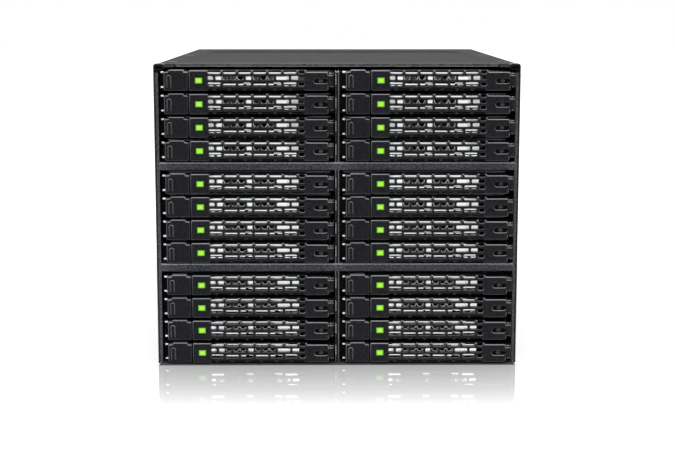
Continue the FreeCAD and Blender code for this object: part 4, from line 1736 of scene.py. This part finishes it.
@dataclass
class RearGroup(SubAssembly):
    """Backplane board with sockets and ports, and the panel that frames them."""

    # Board
    board_front: float = 125.4
    board_sheet: float = 1.6
    board_half: float = 71.9
    board_z: Pair = (1.1, 121.9)
    board_round: float = 1.5
    column_x: Pair = (-36.6, 36.6)
    vent_x: float = 21.0
    vent_z: Row = (16.0, 60.0, 103.0)
    vent_size: Pair = (20.0, 30.0)
    vent_round: float = 2.0
    # Sockets
    socket_size: Pair = (40.0, 4.0)
    socket_length: float = 7.4
    socket_x: float = -9.0
    socket_z: float = -1.3
    socket_round: float = 0.5
    mouth_size: Pair = (37.6, 2.4)
    mouth_round: float = 0.3
    mouth_depth: float = 4.4
    tongue_size: Pair = (35.0, 0.8)
    tongue_rise: float = 0.3
    tongue_front: float = 0.8
    tongue_length: float = 3.6
    # Data ports
    port_rows: int = 6
    port_pitch: float = 19.0
    port_first: float = 14.5
    port_length: float = 18.0
    data_x: float = 31.0
    data_size: Pair = (22.0, 9.6)
    data_wall: float = 1.2
    data_hole: float = 12.0
    data_round: float = 0.5
    data_edge: float = 0.25
    port_round: float = 0.6
    card_side: float = 5.0
    card_sheet: float = 1.4
    card_drop: float = 0.6
    card_front: float = 1.5
    # Power ports
    power_x: float = 58.0
    power_size: Pair = (24.0, 6.4)
    power_slot: Pair = (20.0, 2.2)
    power_depth: float = 7.0
    power_round: float = 0.4
    power_edges: Pair = (0.3, 0.2)
    # Rear panel
    panel_front: float = 143.0
    panel_sheet: float = 1.0
    panel_tab: float = 8.0
    panel_half: float = 72.3
    panel_z: Pair = (0.7, 122.3)
    tab_round: float = 1.5
    port_room: float = 0.8
    window_round: float = 1.0
    fan_x: float = -27.0
    fan_z: float = 62.0
    fan_window: float = 72.0
    fan_cut: float = 18.0
    fan_round: float = 3.0

    def port_heights(self) -> list[float]:
        """Give the middle heights of the port rows."""
        return [self.port_first + row * self.port_pitch for row in range(self.port_rows)]

    def board(self) -> None:
        """Build the board with its vents."""
        vents = tuple(rounded(around(x + self.vent_x, z, *self.vent_size), self.vent_round)
                      for x in self.column_x for z in self.vent_z)
        low, high = self.board_z
        outline = rounded(box_outline(-self.board_half, low, self.board_half, high), self.board_round)
        skin = Skin().plate(Facing.FRONT, outline, self.board_front, self.board_sheet, vents,
                            edge=THIN_EDGE, back=THIN_EDGE)
        self.piece("backplane_laminate", skin, BOARD, "board", "cage", "backplane_board")

    def sockets(self) -> None:
        """Build the drive sockets: a body with an open mouth and a contact tongue in it."""
        skin = Skin()
        front = self.board_front - self.socket_length
        floor = self.mouth_depth
        for x, z in [(x + self.socket_x, row + self.socket_z) for x in self.column_x for row in self.rows]:
            body = rounded(around(x, z, *self.socket_size), self.socket_round)
            mouth = rounded(around(x, z, *self.mouth_size), self.mouth_round)
            skin.plate(Facing.FRONT, body, front, floor, (mouth,), edge=SHEET_EDGE,
                       hole_edge=SHEET_EDGE)
            skin.plate(Facing.FRONT, body, front + floor, self.socket_length - floor)
            tongue = around(x, z + self.tongue_rise, *self.tongue_size)
            skin.plate(Facing.FRONT, tongue, front + self.tongue_front, self.tongue_length,
                       edge=HOLE_EDGE)
        self.piece("drive_socket_bodies", skin, SOCKET_PLASTIC, "socket_plastic", "cage", "drive_sockets")

    def ports(self) -> None:
        """Build the plated data ports and the moulded power ports."""
        data, power = Skin(), Skin()
        start = self.board_front + self.board_sheet
        end = start + self.port_length
        inner = [side - 2.0 * self.data_wall for side in self.data_size]
        for z in self.port_heights():
            body = rounded(around(self.data_x, z, *self.data_size), self.port_round)
            mouth = rounded(around(self.data_x, z, *inner), self.data_round)
            data.plate(Facing.BACK, body, end, self.data_hole, (mouth,), edge=self.data_edge,
                       hole_edge=self.data_edge)
            data.plate(Facing.BACK, body, end - self.data_hole, self.port_length - self.data_hole)
            block = rounded(around(self.power_x, z, *self.power_size), self.port_round)
            slot = rounded(around(self.power_x, z, *self.power_slot), self.power_round)
            power.plate(Facing.BACK, block, end, self.power_depth, (slot,), edge=self.power_edges[0],
                        hole_edge=self.power_edges[1])
            power.plate(Facing.BACK, block, end - self.power_depth, self.port_length - self.power_depth)
            card = around(self.data_x, z - self.card_drop, inner[0] - self.card_side, self.card_sheet)
            power.plate(Facing.BACK, card, end - self.card_front, self.data_hole - self.card_front,
                        edge=SHEET_EDGE)
        self.piece("data_port_shells", data, PORT_SHELL, "port_shell", "cage", "cable_ports")
        self.piece("power_port_bodies", power, SOCKET_PLASTIC, "socket_plastic", "cage")

    def fan_opening(self) -> Array:
        """Give the fan's window: a square with cut corners.

        Returns:
            The window's rounded outline.
        """
        half = self.fan_window / 2.0
        near = half - self.fan_cut
        corners = np.array([(half, -near), (half, near), (near, half), (-near, half), (-half, near),
                            (-half, -near), (-near, -half), (near, -half)])
        return rounded(corners + (self.fan_x, self.fan_z), self.fan_round)

    def panel(self) -> None:
        """Build the rear panel with its windows and side tabs."""
        skin = Skin()
        left = self.data_x - self.data_size[0] / 2.0 - self.port_room
        right = self.power_x + self.power_size[0] / 2.0 + self.port_room
        reach = self.data_size[1] / 2.0 + self.port_room
        windows = [self.fan_opening()]
        windows += [rounded(box_outline(left, z - reach, right, z + reach), self.window_round)
                    for z in self.port_heights()]
        low, high = self.panel_z
        face = box_outline(-self.panel_half, low, self.panel_half, high)
        skin.plate(Facing.BACK, face, self.panel_front + self.panel_sheet, self.panel_sheet, tuple(windows),
                   edge=SHEET_EDGE, hole_edge=SHEET_EDGE)
        tab = box_outline(self.panel_front, low, self.panel_front + self.panel_tab, high)
        tab = rounded(tab, (0.0, self.tab_round, self.tab_round, 0.0))
        for facing, x in ((Facing.LEFT, -self.panel_half), (Facing.RIGHT, self.panel_half)):
            skin.plate(facing, tab, x, self.panel_sheet, edge=THIN_EDGE, back=THIN_EDGE)
        self.piece("rear_panel_sheet", skin, CAGE_PAINT, "cage_paint", "cage", "rear_panel")

    def show(self) -> None:
        """Make the rear group's pieces."""
        for make in (self.board, self.sockets, self.ports, self.panel):
            make()


@dataclass
class Fan(SubAssembly):
    """Square fan: frame with motor seat and struts, corner screws, and the rotor."""

    # Frame
    x: float = -27.0
    z: float = 62.0
    size: float = 80.0
    start: float = 144.0
    thickness: float = 25.0
    bore: float = 37.8
    bore_steps: int = 72
    bore_edge: float = 0.5
    corner_round: float = 4.0
    corner_steps: int = 6
    frame_edge: float = 0.6
    frame_back: float = 0.4
    hole_radius: float = 2.2
    # Screws
    screw_offset: float = 35.75
    screw_radius: float = 3.2
    screw_steps: int = 24
    screw_slot: Pair = (3.4, 0.8)
    screw_head: float = 1.4
    screw_edge: float = 0.9
    # Motor seat and struts
    seat_radius: float = 16.5
    seat_steps: int = 40
    seat_sheet: float = 2.0
    strut_width: float = 3.0
    strut_laps: Pair = (1.0, 0.4)
    strut_turn: float = 45.0
    strut_drop: float = 0.02
    strut_edge: float = 0.5
    struts: int = 4
    # Rotor
    hub_radius: float = 15.5
    hub_start: float = 3.5
    hub_length: float = 18.0
    hub_edge: float = 1.2
    hub_steps: int = 48
    blades: int = 7
    tip: float = 35.0
    root_chord: float = 15.0
    tip_chord: float = 24.0
    root_pitch: float = 38.0
    tip_pitch: float = 58.0
    blade_sheet: float = 1.6
    blade_root: float = 1.5
    blade_rows: int = 9
    blade_points: int = 20
    blade_fade: int = 12
    camber: float = 1.6
    camber_root: float = 0.4

    def frame_skin(self) -> None:
        """Build the frame with its bore, the motor seat and the struts that hold it."""
        skin = Skin()
        end = self.start + self.thickness
        holes = [circle(self.x, self.z, self.bore, self.bore_steps)]
        holes += [circle(x, z, self.hole_radius, PIN_STEPS) for x, z in self.screw_places()]
        outline = rounded(around(self.x, self.z, self.size, self.size), self.corner_round, self.corner_steps)
        skin.plate(Facing.BACK, outline, end, self.thickness, tuple(holes), edge=self.frame_edge,
                   back=self.frame_back, hole_edge=self.bore_edge)
        seat = circle(self.x, self.z, self.seat_radius, self.seat_steps)
        skin.plate(Facing.BACK, seat, end, self.seat_sheet, edge=self.frame_edge)
        near, far = self.seat_radius - self.strut_laps[0], self.bore + self.strut_laps[1]
        half = self.strut_width / 2.0
        for step in range(self.struts):
            angle = math.radians(self.strut_turn + step * 360.0 / self.struts)
            turn = np.array([(math.cos(angle), math.sin(angle)), (-math.sin(angle), math.cos(angle))])
            strut = box_outline(near, -half, far, half) @ turn
            skin.plate(Facing.BACK, strut + (self.x, self.z), end - self.strut_drop, self.seat_sheet,
                       edge=self.strut_edge)
        self.piece("fan_frame_moulding", skin, FAN_PLASTIC, "fan_plastic", "cage", "fan_frame")

    def screw_places(self) -> list[Pair]:
        """Give the middles of the corner screws."""
        reach = self.screw_offset
        return [(self.x + dx, self.z + dz) for dx in (-reach, reach) for dz in (-reach, reach)]

    def screws(self) -> None:
        """Build the four self-tapping screws at the frame's corners."""
        skin = Skin()
        end = self.start + self.thickness + self.screw_head
        for x, z in self.screw_places():
            head = circle(x, z, self.screw_radius, self.screw_steps)
            slot = around(x, z, *self.screw_slot)
            skin.plate(Facing.BACK, head, end, self.screw_head, (slot,), edge=self.screw_edge)
        self.piece("fan_screws", skin, SCREW_METAL, "lock_metal", "cage")

    def rotor(self) -> None:
        """Build the rotor: a rounded hub and blades that lie on cylinders about the axis.

        At each radius a blade's section runs along the pitch line: its share of the chord times the
        pitch's sine goes round the axis, times its cosine along it. The thickness is an ellipse over the
        chord, drawn to nothing at the root and the tip, which closes the blade.
        """
        skin = Skin()
        middle = self.start + self.hub_start + self.hub_length / 2.0
        hub = circle(self.x, self.z, self.hub_radius, self.hub_steps)
        skin.plate(Facing.BACK, hub, middle + self.hub_length / 2.0, self.hub_length, edge=self.hub_edge,
                   back=self.hub_edge)
        share = np.linspace(0.0, 1.0, self.blade_rows)[:, None]
        section = np.linspace(0.0, 2.0 * math.pi, self.blade_points, endpoint=False)[None, :]
        root = self.hub_radius - self.blade_root
        radius = root + (self.tip - root) * share
        chord = self.root_chord + (self.tip_chord - self.root_chord) * share
        pitch = np.radians(self.root_pitch + (self.tip_pitch - self.root_pitch) * share)
        along = 0.5 * np.cos(section) * chord
        fade = np.sqrt(np.clip(1.0 - (2.0 * share - 1.0) ** self.blade_fade, 0.0, 1.0))
        thick = 0.5 * self.blade_sheet * np.sin(section) * fade
        rise = self.camber_root + (1.0 - self.camber_root) * share
        off = thick + self.camber * (1.0 - np.cos(section) ** 2) * rise
        sideways = along * np.sin(pitch) + off * np.cos(pitch)
        lengthways = along * np.cos(pitch) - off * np.sin(pitch)
        for step in range(self.blades):
            angle = step * 2.0 * math.pi / self.blades + sideways / radius
            points = np.stack((self.x + radius * np.cos(angle), middle + lengthways,
                               self.z + radius * np.sin(angle)), axis=-1)
            skin.shell += 1
            skin.grid(points)
        self.piece("fan_rotor_moulding", skin, FAN_PLASTIC, "fan_plastic", "fan_rotor", "fan_rotor")

    def show(self) -> None:
        """Make the fan's pieces."""
        for make in (self.frame_skin, self.screws, self.rotor):
            make()


@dataclass
class Studio:
    """White floor and background, soft light from above, and the camera."""

    # Camera
    lens: float = 69.83
    sensor: float = 36.0
    place: Place = (-0.0034, -0.61452, 0.14775)
    pitch: float = math.radians(-7.84)
    yaw: float = 0.0067
    shift_y: float = -0.06
    clip_start: float = 0.01
    # Lamp
    lamp_place: Place = (0.0, -0.3, 0.95)
    lamp_aim: Place = (0.0, 0.0, 0.06)
    lamp_size: Pair = (1.2, 0.8)
    lamp_power: float = 7.0
    # Floor
    floor_half: float = 4.0
    floor_white: Colour = (0.96, 0.96, 0.96)
    floor_rough: float = 0.04
    floor_drop: float = 0.0002
    mirror: float = 0.58
    mirror_reach: float = 0.095
    lift: Pair = (0.4, 1.0)
    lift_reach: Pair = (0.0, 0.07)
    # Background
    fill: float = 0.35

    def floor_material(self) -> bpy.types.Material:
        """Make the floor's white, with a mirror share that fades with the squared distance from the object.

        Returns:
            The material.
        """
        material = bpy.data.materials.new("studio floor")
        material.use_nodes = True
        material.node_tree.nodes.clear()
        graph = Graph(material.node_tree)
        place = graph.node("ShaderNodeTexCoord")
        split = graph.node("ShaderNodeSeparateXYZ")
        graph.link(place.outputs["Object"], split.inputs["Vector"])
        _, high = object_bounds()
        ways = [graph.math("SUBTRACT", graph.math("ABSOLUTE", split.outputs[axis]), half)
                for axis, half in (("X", high[0]), ("Y", high[1]))]
        far = graph.math("MAXIMUM", *ways)
        square = graph.math("MULTIPLY", far, far)
        plain = graph.node("ShaderNodeBsdfDiffuse")
        graph.feed(plain.inputs["Color"], self.floor_white)
        gloss = graph.node("ShaderNodeBsdfGlossy")
        graph.feed(gloss.inputs["Color"], WHITE)
        gloss.inputs["Roughness"].default_value = self.floor_rough
        ray = graph.node("ShaderNodeLightPath")
        lift = graph.node("ShaderNodeEmission")
        amount = graph.spread(far, self.lift_reach, self.lift)
        graph.link(graph.math("MULTIPLY", ray.outputs["Is Camera Ray"], amount), lift.inputs["Strength"])
        white = graph.node("ShaderNodeAddShader")
        graph.link(plain.outputs[0], white.inputs[0])
        graph.link(lift.outputs[0], white.inputs[1])
        share = graph.spread(square, (0.0, self.mirror_reach ** 2), (self.mirror, 0.0))
        mix = graph.node("ShaderNodeMixShader")
        for target, source in zip(mix.inputs, (share, white.outputs[0], gloss.outputs[0])):
            graph.link(source, target)
        output = graph.node("ShaderNodeOutputMaterial")
        graph.link(mix.outputs[0], output.inputs["Surface"])
        return material

    def floor(self) -> None:
        """Lay the floor just under the object."""
        half = self.floor_half
        corners = [(-half, -half), (half, -half), (half, half), (-half, half)]
        mesh = bpy.data.meshes.new("studio_floor")
        mesh.from_pydata([(x, y, -self.floor_drop) for x, y in corners], [], [(0, 1, 2, 3)])
        mesh.materials.append(self.floor_material())
        floor = bpy.data.objects.new("studio_floor", mesh)
        bpy.context.scene.collection.objects.link(floor)
        floor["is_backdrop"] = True

    def world(self) -> None:
        """Set the background: white where it is seen or mirrored, dimmer where it lights the object."""
        world = bpy.data.worlds.new("studio world")
        bpy.context.scene.world = world
        world.use_nodes = True
        world.node_tree.nodes.clear()
        graph = Graph(world.node_tree)
        ray = graph.node("ShaderNodeLightPath")
        seen = graph.math("MAXIMUM", ray.outputs["Is Camera Ray"], ray.outputs["Is Glossy Ray"])
        seen = graph.math("MAXIMUM", seen, ray.outputs["Is Transmission Ray"])
        back = graph.node("ShaderNodeBackground")
        graph.feed(back.inputs["Color"], WHITE)
        graph.link(graph.spread(seen, UNIT, (self.fill, 1.0)), back.inputs["Strength"])
        output = graph.node("ShaderNodeOutputWorld")
        graph.link(back.outputs[0], output.inputs["Surface"])

    def lamp(self) -> None:
        """Hang a soft rectangular lamp over the object."""
        data = bpy.data.lights.new("overhead lamp", "AREA")
        data.shape = "RECTANGLE"
        data.size, data.size_y = self.lamp_size
        data.energy = self.lamp_power
        lamp = bpy.data.objects.new("overhead lamp", data)
        lamp.location = self.lamp_place
        way = [there - here for here, there in zip(self.lamp_place, self.lamp_aim)]
        lamp.rotation_euler = (math.atan2(math.hypot(way[0], way[1]), -way[2]), 0.0,
                               math.atan2(-way[0], way[1]))
        bpy.context.scene.collection.objects.link(lamp)

    def camera(self) -> None:
        """Set the camera at the photograph's viewing angle."""
        data = bpy.data.cameras.new("camera")
        data.lens = self.lens
        data.sensor_width = self.sensor
        data.shift_y = self.shift_y
        data.clip_start = self.clip_start
        camera = bpy.data.objects.new("camera", data)
        camera.location = self.place
        camera.rotation_euler = (math.pi / 2.0 + self.pitch, 0.0, -self.yaw)
        bpy.context.scene.collection.objects.link(camera)
        bpy.context.scene.camera = camera

    def show(self) -> None:
        """Set the whole studio."""
        self.floor()
        self.world()
        self.lamp()
        self.camera()
        bpy.context.scene.view_settings.view_transform = "Standard"


@dataclass
class Cage:
    """Whole object: places its sub-assemblies where the frame has them."""

    trays: int = 24
    rows: int = 12
    lever_reach: float = 35.25
    lever_half_height: float = 4.05

    def tray_origin(self, number: int) -> Place:
        """Give the front middle of a tray, worked out from its lever's box."""
        low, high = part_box(f"lever_{number:02d}")
        return (high[0] - self.lever_reach * MM, low[1], low[2] + self.lever_half_height * MM)

    def show(self) -> None:
        """Make every sub-assembly."""
        low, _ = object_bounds()
        origin = (0.0, low[1], 0.0)
        places = [self.tray_origin(number + 1) for number in range(self.trays)]
        heights = tuple(place[2] / MM for place in places[:self.rows])
        for sub_assembly in (CageShell, TopCover, FrontFrame, RearGroup, Fan):
            sub_assembly(origin, heights).show()
        for number, place in enumerate(places, start=1):
            TrayBox(place, number=number).show()
            TrayFace(place, number=number).show()


def main() -> None:
    """Build the object and the studio."""
    logging.basicConfig(level=logging.INFO, format="%(message)s")
    Studio().show()
    Cage().show()


if __name__ == "__main__":
    main()
